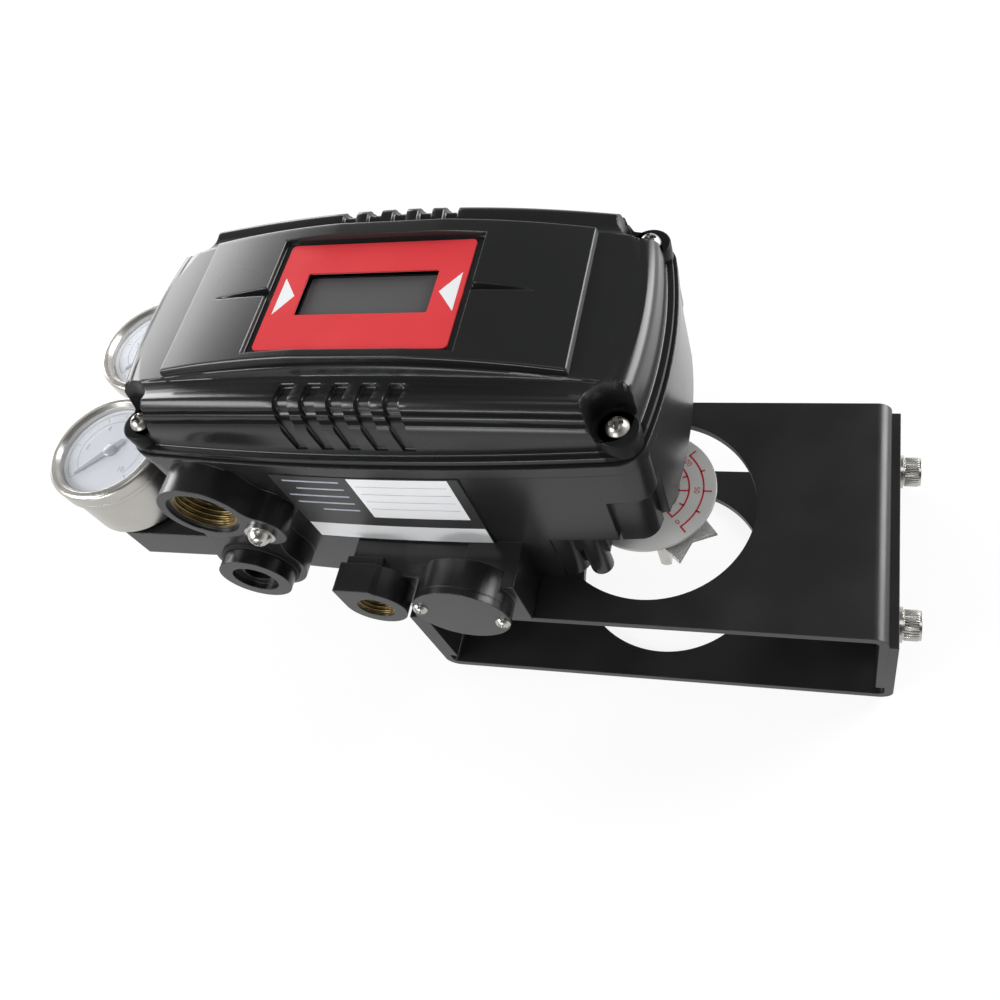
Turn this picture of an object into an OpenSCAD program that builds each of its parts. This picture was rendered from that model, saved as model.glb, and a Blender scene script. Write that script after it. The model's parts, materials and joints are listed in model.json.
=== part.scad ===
// Electro-pneumatic rotary valve positioner on a two-piece mounting bracket.
// Millimetres, +Z up. The feedback shaft stands on the Z axis and the lower
// bracket's foot face is z = 0, the face that bolts to an actuator.

/* [Housing plan] */
// Housing centre along X, measured from the feedback shaft
body_x = -72; // [-76:0.5:-68]
// Housing centre along Y, measured from the feedback shaft
body_y = 14.4; // [12:0.2:16]
// Half length at the parting line, at mid depth
half_len = 87.7; // [86:0.1:90]
// Half depth at the parting line, at mid length
half_dep = 45.3; // [44:0.1:47]
// Plan radius of the two bowed long sides
side_r = 1000; // [800:10:1400]
// Plan radius of the two bowed ends
end_r = 165; // [150:1:190]
// Corner radius of the parting outline
corner_r = 9.9; // [9:0.1:11]

/* [Housing heights] */
// Height of the parting face between base and cover
part_z = 119; // [117:0.5:121]
// Underside of the base where it hangs beside the bracket
low_z = 47.5; // [46:0.5:49]
// Underside of the base over the feedback shaft
step_z = 76; // [74:0.5:80]
// Where the deep part of the base ends, along X
step_x = -18; // [-20:0.5:-16]
// Wall thickness of the base
wall = 5; // [4:0.5:6]
// Height of the rim that stands out under the parting face
rim_h = 4.5; // [3:0.5:6]

/* [Cover] */
// Height of the deck above the parting face, at mid length
deck_h = 25.8; // [24:0.1:27]
// Crown radius of the deck
deck_r = 391; // [360:1:450]
// Height of the raised panel above the parting face, at mid length
panel_h = 29.2; // [28:0.1:30]
// Crown radius of the raised panel
panel_r = 312; // [290:1:340]
// Half length of the raised panel
panel_hx = 63.8; // [60:0.1:66]
// Half depth of the raised panel
panel_hy = 26.3; // [25:0.1:27]
// Crown radius of the shoulder
shoulder_r = 600; // [500:10:800]
// Relief slots in each shoulder
slots = 5; // [3:1:7]
// Spacing of the relief slots
slot_pitch = 8.7; // [8:0.1:9.5]
// Width of one relief slot
slot_w = 4.8; // [4:0.1:5.5]
// Height of the cover screw seats above the parting face
seat_h = 7.5; // [6.5:0.5:9]

/* [Display] */
// Label length
label_x = 61.7; // [58:0.1:64]
// Label depth
label_y = 41.6; // [38:0.1:43]
// Height of the label's face above the parting face
label_h = 26.3; // [26:0.1:26.8]
// Visible display length
view_x = 43; // [36:0.5:46]
// Visible display depth
view_y = 16.5; // [14:0.5:20]

/* [Bracket] */
// Bracket length over the upper piece
br_len = 160; // [156:1:164]
// Bracket depth
br_dep = 90; // [86:1:92]
// Height of the bracket's top face, where the base sits
br_h = 50; // [50:1:50]
// Sheet thickness
sheet = 3; // [2.5:0.5:3]
// Radius of the window round the shaft
window_r = 36; // [34:0.5:37]
// Height of the lower piece's side flanges
flange_h = 44; // [42:0.5:45]
// Foot bolt spacing along X
foot_sx = 80; // [80:1:80]
// Foot bolt spacing along Y
foot_sy = 30; // [30:1:30]
// Foot bolt hole radius
foot_r = 2.75; // [2.6:0.05:3]

/* [Gauges] */
// Gauge centres along X
gauge_x = -195; // [-198:0.5:-193]
// Front gauge centre along Y
gauge_y1 = -6.3; // [-8:0.1:-5]
// Back gauge centre along Y
gauge_y2 = 41.4; // [40:0.1:43]
// Gauge bezel radius
gauge_r = 22.5; // [21:0.1:23]
// Top of the gauge bezels
gauge_z = 91.5; // [90:0.5:93]
// Underside of the gauge cases
gauge_low = 66; // [65:0.5:68]

/* [Shaft and dial] */
// Feedback shaft radius
shaft_r = 5; // [4.5:0.5:5]
// Radial running clearance of turning parts
run_gap = 0.04; // [0.03:0.01:0.08]
// Dial radius
dial_r = 23.4; // [22:0.1:24.5]
// Top face of the dial
dial_z = 61.3; // [60:0.1:62]
// Pointer tip radius
tip_r = 27.5; // [26:0.1:28.5]
// Gear tooth module
gear_m = 1; // [1:0.1:1]

/* [Front connections] */
// Conduit centres along X
con_x = -132.5; // [-134:0.5:-131]
// Upper conduit height
con_z1 = 104; // [103:0.5:104]
// Lower conduit height
con_z2 = 67; // [66:0.5:69]
// Conduit thread radius
con_r = 10.4; // [10:0.1:10.8]
// Upper conduit face along Y
con_y1 = -40; // [-42:0.5:-38]
// Lower conduit face along Y
con_y2 = -38; // [-40:0.5:-36]
// Air port centre along X
port_x = -83.2; // [-84:0.1:-82]
// Air port height
port_z = 68.6; // [68:0.1:70]
// Air port thread radius
port_r = 6.3; // [6:0.1:6.6]
// Air port face along Y
port_y = -53; // [-55:0.5:-51]
// Pilot boss centre along X
pilot_x = -53.5; // [-54:0.1:-53]
// Pilot boss height
pilot_z = 67; // [67:0.1:68]
// Pilot boss radius
pilot_r = 16.2; // [15.5:0.1:16.4]

/* [Hidden] */
$fn = 96;
e = 0.02;
slip = 0.1;
kx = half_len - end_r + sqrt(pow(end_r - corner_r, 2) - pow(half_dep - corner_r - 2.8, 2));
ky = half_dep - side_r + sqrt(pow(side_r - corner_r, 2) - kx * kx);
end_a = asin(ky / (end_r - corner_r));
side_a = acos(kx / (side_r - corner_r));
screw_x = 76.8;
screw_y = 34.5;
skirt = 3.4;
front_y = body_y - half_dep;
base_in = 0.8;
gas_t = 0.8;
cov_z = part_z + gas_t;
seat_z = part_z + seat_h;
label_z = part_z + label_h;
pane_z = label_z - 4.5;
lcd_z = label_z - 8.9;
frame_z = label_z - 14.3;
rack_z = part_z - 3;
post_r = 6.6;
con_cb = 1.2;
con_deep = 14;
con_br = 14.5;
plug_br = 16;
gnd_x = -117;
gnd_z = 94;
gnd_br = 8.2;
gnd_t = 1.2;
port_br = 10.6;
port_deep = 10;
port_top = 11.8;
hub_z = 51.4;
slope_h = 23.6;
valley_h = 22.3;
ridge_y = 37.6;
deck_hy = 27.5;
roll_r = 16.3;
roll_y = 25.5;
roll_z = 12.9;
label_gx = 2.5;
label_gy = 1.5;
name_gap = 0.1;
name_t = 0.5;
name_x0 = -107.6;
name_x1 = -44.6;
name_z0 = 75;
boss_y = -40.5;
ledge_y = -42.6;
ledge_d = 4.1;
ledge_h = 3.4;
man_z0 = 53;
man_z1 = 74;
relief_x = -3;
relief_y = -17;
relief_in = 3.4;
relief_z = 98;
lip_z = 71.5;
dial_sr = 9.5;
lug_x = -14;
gear_n = 32;
pin_n = 16;
mesh_a = 159;
gear_z = 92;
gear_h = 4;
mesh_d = gear_m * (gear_n + pin_n) / 2;
pin_x = mesh_d * cos(mesh_a);
pin_y = mesh_d * sin(mesh_a);
board_z = part_z - 6.6;
bolt_y = 30;
bolt_z = 29;
base_bx = [12 - br_len / 2, 42 - br_len / 2];
base_by = 22;
lens_z = gauge_z - 3.5;
gdial_z = gauge_z - 10;

// Four points round one plan corner: the arc's two ends, and both pushed out past the bowed sides.
function corner_pts(sx, sy, r) = [for (p = [[r + 20, end_a], [r, end_a], [r, side_a], [r + 20, side_a]])
  [sx * (kx + p[0] * cos(p[1])), sy * (ky + p[0] * sin(p[1]))]];
function turned(pts) = [for (i = [3 : -1 : 0]) pts[i]];

// Housing outline in plan, inset by o: two bowed sides, two bowed ends, round corners.
module plan(o) {
  r = corner_r - o + 0.03;
  intersection() {
    translate([0, side_r - half_dep]) circle(side_r - o, $fn = 200);
    translate([0, half_dep - side_r]) circle(side_r - o, $fn = 200);
    translate([end_r - half_len, 0]) circle(end_r - o, $fn = 200);
    translate([half_len - end_r, 0]) circle(end_r - o, $fn = 200);
    union() {
      polygon(concat(corner_pts(1, 1, r), turned(corner_pts(-1, 1, r)), corner_pts(-1, -1, r),
        turned(corner_pts(1, -1, r))));
      for (sx = [-1, 1], sy = [-1, 1]) translate([sx * kx, sy * ky]) circle(r);
    }
  }
}
module at_body() translate([body_x, body_y, 0]) children();
module at_cover() translate([body_x, body_y, part_z]) children();
module slab(o, z0, z1) at_body() translate([0, 0, z0]) linear_extrude(z1 - z0) plan(o);
module corners() for (sx = [-1, 1], sy = [-1, 1])
  translate([body_x + sx * screw_x, body_y + sy * screw_y, 0]) children();
module box(x0, x1, y0, y1, z0, z1) translate([x0, y0, z0]) cube([x1 - x0, y1 - y0, z1 - z0]);
module rod(x, y, z0, z1, r) translate([x, y, z0]) cylinder(h = z1 - z0, r = r);
module rod_y(x, z, y0, y1, r) translate([x, y1, z]) rotate([90, 0, 0]) cylinder(h = y1 - y0, r = r);
module rod_x(x0, x1, y, z, r) translate([x0, y, z]) rotate([0, 90, 0]) cylinder(h = x1 - x0, r = r);

// A profile drawn as (radius, depth), turned about a level axis below the cover's top.
module crowned(r, top, a = 14) translate([0, 0, top - r]) rotate([-90, 0, 0])
  rotate([0, 0, -90 - a]) rotate_extrude(angle = 2 * a, $fn = 200) children();

// Crowned deck, cut off square along each long edge.
module deck_form() crowned(deck_r, deck_h) translate([deck_r - 14, -deck_hy]) square([14, 2 * deck_hy]);
// Shoulder ridge beyond a shallow valley, rolled down to the skirt, with two fine grooves.
module shoulder_form() crowned(shoulder_r, slope_h) translate([shoulder_r - slope_h, 0]) difference() {
  union() {
    polygon([[-1.6, -45], [12.6, -45], [12.6, -31], [valley_h, -31], [valley_h, 31], [12.6, 31], [12.6, 45], [-1.6, 45]]);
    for (s = [-1, 1]) intersection() {
      translate([roll_z, s * roll_y]) circle(roll_r);
      polygon([[0, s * 30], [valley_h, s * 30], [slope_h, s * ridge_y], [slope_h, s * 45], [0, s * 45]]);
    }
  }
  for (s = [-1, 1], g = [[57, 0.6], [65, 0.9]])
    translate([roll_z + (roll_r + 0.3) * cos(g[0]), s * (roll_y + (roll_r + 0.3) * sin(g[0]))]) circle(g[1]);
}
module end_form() intersection() {
  translate([end_r - half_len, 0, 0]) rotate_extrude($fn = 200) end_profile();
  translate([half_len - end_r, 0, 0]) rotate_extrude($fn = 200) end_profile();
}
module end_profile() {
  polygon([[0, -1], [end_r - 2.6, -1], [end_r - 3.7, 12.2], [end_r - 8.2, 16.8], [0, 17.4]]);
  translate([end_r - 8.4, 13.3]) circle(4.6);
  translate([0, 16.4]) square([end_r - 9.8, 14]);
}
module panel_form() intersection() {
  translate([0, -panel_hy, panel_h - panel_r]) rotate([-90, 0, 0])
    cylinder(h = 2 * panel_hy, r = panel_r, $fn = 300);
  translate([0, 40, 0]) rotate([90, 0, 0]) linear_extrude(80)
    polygon([[-panel_hx - 3, 18], [panel_hx + 3, 18], [panel_hx - 1.4, 25], [panel_hx - 1.4, 31],
      [1.4 - panel_hx, 31], [1.4 - panel_hx, 25]]);
}
module slot_cuts() for (s = [-1, 1], i = [0 : slots - 1])
  translate([(i - (slots - 1) / 2) * slot_pitch - slot_w / 2 - 1.5, s > 0 ? 30.4 : -42, 0]) intersection() {
    translate([0, 0, 4.5]) cube([slot_w, 11.6, 20]);
    translate([0, s > 0 ? -0.4 : 0.4 + 11.6, 0]) rotate([90, 0, 90]) linear_extrude(slot_w)
      scale([s, 1]) polygon([[3, 24.2], [3.8, 21], [6.4, 21.9], [8.2, 20.2], [9.6, 17.4], [10.3, 14.4],
        [10.6, 12], [10.8, 8.2], [11.4, 5.4], [20, 4], [20, 26], [3.4, 26]]);
  }

module base_outer() {
  slab(0, part_z - rim_h, part_z);
  slab(base_in, low_z, part_z);
  corners() intersection() {
    rod(0, 0, low_z, part_z - 1, post_r);
    translate([-20, -20, low_z]) cube([40, 40, 100]);
  }
}
module base_housing() color([0.08, 0.08, 0.085]) difference() {
  union() {
    difference() {
      base_outer();
      // room for the bracket under the right-hand part and for the dial under its end
      box(-br_len / 2 - 4.2, 60, -60, 90, 0, br_h);
      rod(0, 0, 0, dial_z + 2.5, dial_r + 1.2);
      difference() {
        box(step_x - 9, 60, -60, 90, 0, step_z);
        // round right-hand corners of the deep part
        box(step_x - 20, step_x - 8, -60, 90, 0, step_z);
        box(step_x - 20, step_x, front_y + 10.5, front_y + 2 * half_dep - 10.5, 0, step_z);
        for (s = [-1, 1]) rod(step_x - 8, body_y + s * (half_dep - 10.5), 0, step_z, 8);
      }
    }
    // lips under the relieved right-hand corners
    intersection() {
      slab(relief_in, lip_z, step_z + 1);
      right_corners(lip_z, step_z + 1);
    }
    // hanging lugs beside the dial
    for (s = [-1, 1]) {
      rod(lug_x, body_y + s * (half_dep - 6.6), br_h + 2, step_z + 1, 4);
      box(lug_x - 6, lug_x + 5.5, body_y + s * (half_dep - 6.6) - 1.6, body_y + s * (half_dep - 6.6) + 1.6, dial_z + 3, step_z + 1);
    }
    // shaft boss that carries the dial
    rod(0, 0, dial_z, step_z + 6, 11);
    front_bosses();
    // screw posts and board posts inside
    intersection() {
      slab(base_in, low_z, part_z);
      union() {
        corners() rod(0, 0, step_z, part_z, post_r);
      }
    }
  }
  difference() {
    union() {
      intersection() {
        slab(wall, 56, part_z + 1);
        box(-200, step_x - wall - 1, -60, 90, 56, part_z + 1);
      }
      slab(wall, step_z + 5, part_z + 1);
    }
    corners() rod(0, 0, 40, part_z + 2, post_r);
    rod(0, 0, step_z, step_z + 12, 11);
    for (x = [-136, -36], y = [-14, 43]) rod(x, y, 50, board_z, 3.6);
    box(pilot_x - 19, pilot_x + 19, front_y - 1, front_y + 9, 50, 86);
  }
  difference() {
    right_corners(lip_z - 1, relief_z);
    slab(relief_in, 0, relief_z + 1);
  }
  corners() rod(0, 0, part_z - 19, part_z + 1, 2.05);
  for (x = [-136, -36], y = [-14, 43]) rod(x, y, board_z - 12, part_z, 1.3);
  // shaft bush seat, seal seat
  rod(0, 0, dial_z - 1, step_z + 20, 8);
  for (s = [-1, 1]) rod(0, s * dial_sr, dial_z - 1, dial_z + 5, 1.1);
  // conduit entries, air port, pilot bore
  rod_y(con_x, con_z1, con_y1 - 1, con_y1 + con_cb + con_deep, con_r);
  rod_y(con_x, con_z1, con_y1 - 1, con_y1 + con_cb, con_r + 1.2);
  rod_y(con_x, con_z2, con_y2 - 1, front_y + 12, con_r);
  rod_y(port_x, port_z, port_y - 1, port_y + port_deep, port_r);
  rod_y(port_x, port_z, port_y - 1, front_y + 12, 3.2);
  rod_y(pilot_x, pilot_z, -60, boss_y - 3, 11);
  rod_y(pilot_x, pilot_z, -60, front_y + 30, 5.6);
  for (s = [-1, 1]) rod_y(pilot_x + s * 13.2, pilot_z - s * 3.5, -51, -44, 1.25);
  // ground screw hole
  rod_y(gnd_x, gnd_z, con_y1 - 1, front_y - 1, 2.05);
  // bolt holes for the bracket
  for (x = base_bx, y = [-base_by, base_by]) rod(x, y, br_h - 1, br_h + 4, 3.05);
}
// The two right-hand corners of the base, between two heights.
module right_corners(z0, z1) for (s = [-1, 1])
  translate([relief_x, body_y + s * (body_y - relief_y) - (s < 0 ? 60 : 0), z0]) cube([60, 60, z1 - z0]);
// A drawing seen from the front, drawn as (x, z), between two depths.
module from_front(y0, y1) translate([0, y1, 0]) rotate([90, 0, 0]) linear_extrude(y1 - y0) children();
// Hollow blend of radius rf on the left-hand side of the way from one round boss to another.
module web(a, ra, b, rb, rf) {
  d = norm(b - a);
  u = (b - a) / d;
  t = (pow(ra + rf, 2) - pow(rb + rf, 2) + d * d) / (2 * d);
  f = a + u * t + [-u[1], u[0]] * sqrt(pow(ra + rf, 2) - t * t);
  difference() {
    polygon([a, b, f]);
    translate(f) circle(rf + 0.06);
  }
}
module front_bosses() {
  upper = [con_x, con_z1];
  lower = [con_x, con_z2];
  ground = [gnd_x, gnd_z];
  rod_y(con_x, con_z1, con_y1, front_y + 7, con_br);
  rod_y(con_x, con_z2, con_y2, front_y + 7, plug_br);
  rod_y(gnd_x, gnd_z, con_y1, front_y + 7, gnd_br);
  from_front(con_y1, front_y + 7) web(upper, con_br, ground, gnd_br, 9);
  from_front(con_y2, front_y + 7) {
    polygon([upper, lower, ground]);
    web(ground, gnd_br, lower, plug_br, 14);
    web(lower, plug_br, upper, con_br, 24);
  }
  // air port block: flat top, round underside, long clipped shoulder
  rod_y(port_x, port_z, port_y, ledge_y, port_br);
  from_front(port_y, ledge_y) translate([port_x, port_z])
    polygon([[-port_br, 0], [port_br, 0], [port_br, 1.8], [2.1, port_top], [-port_br, port_top]]);
  box(port_x - port_br, port_x + 2.1, ledge_y - 1, ledge_y + ledge_d, man_z1 - 1, port_z + port_top - ledge_h);
  rod_y(pilot_x, pilot_z, -50.5, boss_y, pilot_r);
  // manifold that carries the port block and the pilot boss
  box(port_x - port_br, pilot_x + pilot_r, ledge_y - 1, front_y + 7, man_z0, man_z1);
  box(pilot_x, pilot_x + pilot_r + 2.2, -46, front_y + 7, br_h + 1, pilot_z + 8);
}

module cover_solid() {
  slab(1.1, cov_z, cov_z + 1.8);
  intersection() {
    slab(skirt, cov_z, part_z + 36);
    at_cover() end_form();
    at_cover() union() {
      deck_form();
      shoulder_form();
      translate([-100, -50, -1]) cube([200, 100, 2]);
    }
  }
  intersection() {
    slab(skirt, part_z + 15, part_z + 36);
    at_cover() panel_form();
  }
  // round the corner posts out to the screw seats
  corners() rod(0, 0, cov_z, seat_z, 6.4);
}
module front_cover() color([0.07, 0.07, 0.075]) difference() {
  cover_solid();
  at_cover() slot_cuts();
  // corner pockets over the screws
  for (sx = [-1, 1], sy = [-1, 1]) translate([body_x + sx * screw_x, body_y + sy * screw_y, seat_z]) {
    cylinder(h = 30, r = 7.2);
    rotate([0, 0, sx > 0 ? (sy > 0 ? 45 : -45) : (sy > 0 ? 135 : -135)]) translate([0, -7.2, 0]) cube([20, 14.4, 30]);
  }
  corners() rod(0, 0, part_z - 1, seat_z + 1, 2.3);
  // sunk label seat and display opening
  box(body_x - 1.2 - label_x / 2 - label_gx, body_x - 1.2 + label_x / 2 + label_gx,
    body_y - 0.7 - label_y / 2 - label_gy, body_y - 0.7 + label_y / 2 + label_gy, label_z - 0.5, part_z + 36);
  box(body_x - 1.2 - view_x / 2, body_x - 1.2 + view_x / 2, body_y - view_y / 2, body_y + view_y / 2, pane_z - 4, label_z);
  // tapered fins sunk each side of the label
  for (s = [-1, 1]) translate([body_x - 1.2 + s * (label_x / 2 + label_gx - 0.2), body_y + 0.5, 0]) scale([s, 1, 1])
    translate([0, 0, part_z + 24.2]) linear_extrude(10) polygon([[-1, -1.7], [-1, 1.7], [17, 0.3], [17, -0.3]]);
  // hollow inside
  difference() {
    slab(7.2, part_z - 1, part_z + 11);
    corners() rod(0, 0, part_z - 2, part_z + 12, 9.4);
  }
  at_cover() translate([-58, -25, 1]) cube([116, 50, 16.5]);
  at_cover() translate([-38.2, -19, 1]) cube([74, 38, label_h - 4.5]);
}
module cover_gasket() color([0.05, 0.05, 0.05]) difference() {
  slab(1.8, part_z, cov_z);
  difference() {
    slab(wall + 0.4, part_z - 1, cov_z + 1);
    corners() rod(0, 0, part_z - 2, cov_z + 2, 7.4);
  }
  corners() rod(0, 0, part_z - 3, cov_z + 3, 2.3);
}
module cover_screws() color([0.75, 0.74, 0.7]) corners() {
  rod(0, 0, part_z - 18, seat_z + 0.5, 2);
  translate([0, 0, seat_z]) intersection() {
    cylinder(h = 3, r = 4.2);
    translate([0, 0, -3.2]) sphere(6.3);
  }
}
module rounded(x, y, z0, z1, r) translate([0, 0, z0]) linear_extrude(z1 - z0) {
  square([x - 2 * r, y], center = true);
  square([x, y - 2 * r], center = true);
  for (sx = [-1, 1], sy = [-1, 1]) translate([sx * (x / 2 - r), sy * (y / 2 - r)]) circle(r, $fn = 32);
}
module at_view() translate([body_x - 1.2, body_y, 0]) children();
module display_label() color([0.8, 0.12, 0.14]) difference() {
  translate([body_x - 1.2, body_y - 0.7, 0]) rounded(label_x, label_y, label_z - 0.5, label_z, 1.6);
  at_view() rounded(view_x, view_y, label_z - 2, label_z + 1, 0.8);
}
module display_window() color([0.5, 0.53, 0.55, 0.4]) at_view() {
  rounded(60, 32, pane_z - 3.4, pane_z, 2);
  rounded(view_x - 0.6, view_y - 0.6, pane_z - 1, label_z - 2.1, 0.7);
}
module window_gasket() color([0.04, 0.04, 0.04]) at_view() difference() {
  rounded(60, 32, pane_z, pane_z + 1, 2);
  rounded(54, 26, pane_z - 1, pane_z + 2, 1);
}
module lcd_module() color([0.35, 0.37, 0.36]) at_view() {
  rounded(58, 30, frame_z, frame_z + 2, 1);
  rounded(52, 24, frame_z + 2, lcd_z, 0.8);
}
module display_frame() color([0.12, 0.12, 0.13]) at_view() {
  rounded(62, 34, frame_z - 2, frame_z, 2);
  for (sx = [-1, 1], sy = [-1, 1]) rod(sx * 27, sy * 13, rack_z + 2, frame_z - 1, 3);
}
btn_x = [-124.5, -114.5, -29.5, -19.5];
module inner_panel() color([0.2, 0.21, 0.22]) difference() {
  box(-134, -6, -16, 45, rack_z, rack_z + 2);
  for (x = btn_x) rod(x, body_y, rack_z - 1, rack_z + 3, 3.4 + slip);
}
module button(i) color([0.55, 0.56, 0.57]) translate([btn_x[i], body_y, 0]) {
  rod(0, 0, rack_z - 0.8, rack_z + 4.4, 3.4);
  rod(0, 0, rack_z - 0.8, rack_z - 0.1, 4.6);
  translate([0, 0, rack_z + 4.4]) cylinder(h = 0.5, r1 = 3.4, r2 = 2.9);
}
module button_up() button(0);
module button_down() button(1);
module button_enter() button(2);
module button_back() button(3);
module main_board() color([0.05, 0.25, 0.12]) difference() {
  union() {
    box(-142, -8, -19, 48, board_z, board_z + 1.6);
    // spacers that carry the inner panel
    for (x = [-130, -10], y = [-12, 41]) rod(x, y, board_z + 1.6, rack_z, 2.5);
    // component blocks under the board
    box(-112, -96, 6, 30, board_z - 5, board_z);
    box(-90, -70, -8, 4, board_z - 4, board_z);
  }
  for (x = [-136, -36], y = [-14, 43]) rod(x, y, board_z - 1, board_z + 3, 1.6);
}
module terminal_block() color([0.1, 0.35, 0.2]) difference() {
  box(-147, -125, -8, 28, 56, 70);
  for (i = [0 : 3]) {
    rod(-133, -3.5 + 9 * i, 62, 71, 3);
    box(-148, -139, -6.5 + 9 * i, -0.5 + 9 * i, 60, 66);
  }
}
module terminal_screws() color([0.75, 0.74, 0.7]) for (i = [0 : 3]) difference() {
  rod(-133, -3.5 + 9 * i, 62, 68, 2.8);
  box(-137, -129, -3.9 + 9 * i, -3.1 + 9 * i, 67, 69);
}
module torque_motor() color([0.45, 0.28, 0.12]) {
  box(-112, -84, 20, 46, 56, 62);
  for (y = [27, 39]) rod(-98, y, 62, 84, 5.6);
  box(-108, -88, 21, 45, 84, 88);
}
module pilot_valve_body() color([0.6, 0.61, 0.63]) difference() {
  box(pilot_x - 13, pilot_x + 13, front_y + 16, front_y + 62, 56, 79);
  rod_y(pilot_x, pilot_z, front_y + 15, front_y + 63, 5 + run_gap);
  for (i = [0 : 2]) rod(pilot_x, front_y + 28 + 11 * i, pilot_z, 80, 2.2);
}
module pilot_spool() color([0.78, 0.78, 0.76]) {
  rod_y(pilot_x, pilot_z, front_y + 8, front_y + 58, 3);
  for (i = [0 : 3]) rod_y(pilot_x, pilot_z, front_y + 20 + 10.5 * i, front_y + 25 + 10.5 * i, 5);
}
module pilot_cap() color([0.1, 0.1, 0.105]) difference() {
  rod_y(pilot_x, pilot_z, -53, -50.5, pilot_r);
  for (s = [-1, 1]) rod_y(pilot_x + s * 13.2, pilot_z - s * 3.5, -54, -50, 1.5);
}
module pilot_cap_screws() color([0.75, 0.74, 0.7]) for (s = [-1, 1]) {
  rod_y(pilot_x + s * 13.2, pilot_z - s * 3.5, -54.6, -53, 2.6);
  rod_y(pilot_x + s * 13.2, pilot_z - s * 3.5, -53.2, -45, 1.2);
}
module conduit_plug() color([0.05, 0.05, 0.052]) difference() {
  union() {
    rod_y(con_x, con_z2, con_y2 - 6.4, con_y2 - 1, 12.6);
    rod_y(con_x, con_z2, con_y2 - 1.2, con_y2 + 12, con_r - 0.05);
  }
  rod_y(con_x, con_z2, con_y2 - 8, con_y2 - 4.2, 8);
  rod_y(con_x, con_z2, con_y2 - 9, con_y2 + 3, 4.5);
}
module conduit_plug_seal() color([0.03, 0.03, 0.03]) difference() {
  rod_y(con_x, con_z2, con_y2 - 1, con_y2, 13.6);
  rod_y(con_x, con_z2, con_y2 - 2, con_y2 + 1, con_r);
}
module ground_screw() color([0.78, 0.77, 0.74]) {
  rod_y(gnd_x, gnd_z, con_y1 - gnd_t - 3.3, con_y1 - gnd_t, 3.9);
  rod_y(gnd_x, gnd_z, con_y1 - gnd_t - 1, front_y - 1.5, 2);
}
module ground_washer() color([0.7, 0.69, 0.66]) difference() {
  rod_y(gnd_x, gnd_z, con_y1 - gnd_t, con_y1, 5);
  rod_y(gnd_x, gnd_z, con_y1 - gnd_t - 1, con_y1 + 1, 2.2);
}
module nameplate() color([0.3, 0.31, 0.32]) intersection() {
  difference() {
    slab(base_in - name_gap - name_t, name_z0, part_z - 5.6);
    slab(base_in - name_gap, name_z0 - 1, part_z);
  }
  box(name_x0, name_x1, -60, 0, name_z0, part_z - 5.6);
}

module gauge_block() color([0.06, 0.06, 0.065]) difference() {
  translate([0, 0, low_z + 1.5]) linear_extrude(64 - low_z - 1.5) polygon([[-150, -27], [-196, -27], [-208, -15],
    [-208, 50], [-196, 62], [-150, 62]]);
  slab(base_in, 40, part_z);
  corners() rod(0, 0, 40, part_z, post_r);
  for (y = [gauge_y1, gauge_y2]) rod(gauge_x, y, 55, 70, 6.5);
  // air way into the housing
  for (y = [gauge_y1, gauge_y2]) rod_x(gauge_x, -140, y, 58, 2);
}
module gauge_case() difference() {
  union() {
    rod(gauge_x, 0, gauge_low, gauge_z - 5, gauge_r - 1);
    rod(gauge_x, 0, gauge_z - 7, gauge_z - 5, gauge_r);
  }
  rod(gauge_x, 0, gauge_low + 2, gauge_z, gauge_r - 4);
  rod(gauge_x, 0, gdial_z - 0.6, gauge_z, gauge_r - 2.4);
  rod(gauge_x, 0, gauge_low - 1, gauge_low + 3, 5);
}
module gauge_bezel() difference() {
  translate([gauge_x, 0, 0]) rotate_extrude() difference() {
    union() {
      translate([18.6, gauge_z - 5]) square([gauge_r - 18.6, 3.4]);
      translate([18.6, gauge_z - 5]) square([gauge_r - 19.9, 5]);
      translate([gauge_r - 1.6, gauge_z - 1.6]) circle(1.6, $fn = 48);
    }
    translate([17, gauge_z - 6]) square([gauge_r - 18.8, 2.5]);
    polygon([[17, gauge_z - 3.4], [20.2, gauge_z + 0.6], [17, gauge_z + 0.6]]);
  }
}
module gauge_dial() difference() {
  rod(gauge_x, 0, gdial_z - 0.6, gdial_z, gauge_r - 2.6);
  rod(gauge_x, 0, gdial_z - 2, gdial_z + 1, 0.9 + run_gap);
}
// Needle with a tapered pointer, a short tail and its spindle.
module gauge_needle() translate([gauge_x, 0, 0]) {
  rod(0, 0, gdial_z - 6, gdial_z + 1.8, 0.9);
  rod(0, 0, gdial_z + 0.8, gdial_z + 2.4, 2.6);
  translate([0, 0, gdial_z + 1]) rotate([0, 0, -135]) linear_extrude(0.7)
    polygon([[-6, -1.1], [-6, 1.1], [0, 1.3], [14.6, 0.35], [14.6, -0.35], [0, -1.3]]);
}
module gauge_lens() rod(gauge_x, 0, gauge_z - 5, lens_z, gauge_r - 1.9);
module gauge_stem() {
  rod(gauge_x, 0, gauge_low - 10, gauge_low - 2, 6.45);
  difference() {
    translate([gauge_x, 0, gauge_low - 2]) cylinder(h = 2, r = 8, $fn = 6);
    rod(gauge_x, 0, gauge_low - 3, gauge_low + 1, 2);
  }
  rod(gauge_x, 0, gauge_low - 0.5, gauge_low + 6, 4.95);
}
module front_gauge_case() color([0.72, 0.71, 0.68]) translate([0, gauge_y1, 0]) gauge_case();
module front_gauge_bezel() color([0.78, 0.77, 0.74]) translate([0, gauge_y1, 0]) gauge_bezel();
module front_gauge_dial() color([0.9, 0.92, 0.94]) translate([0, gauge_y1, 0]) gauge_dial();
module front_gauge_needle() color([0.3, 0.32, 0.35]) translate([0, gauge_y1, 0]) gauge_needle();
module front_gauge_lens() color([0.9, 0.93, 0.95, 0.3]) translate([0, gauge_y1, 0]) gauge_lens();
module front_gauge_stem() color([0.7, 0.6, 0.35]) translate([0, gauge_y1, 0]) gauge_stem();
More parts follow.
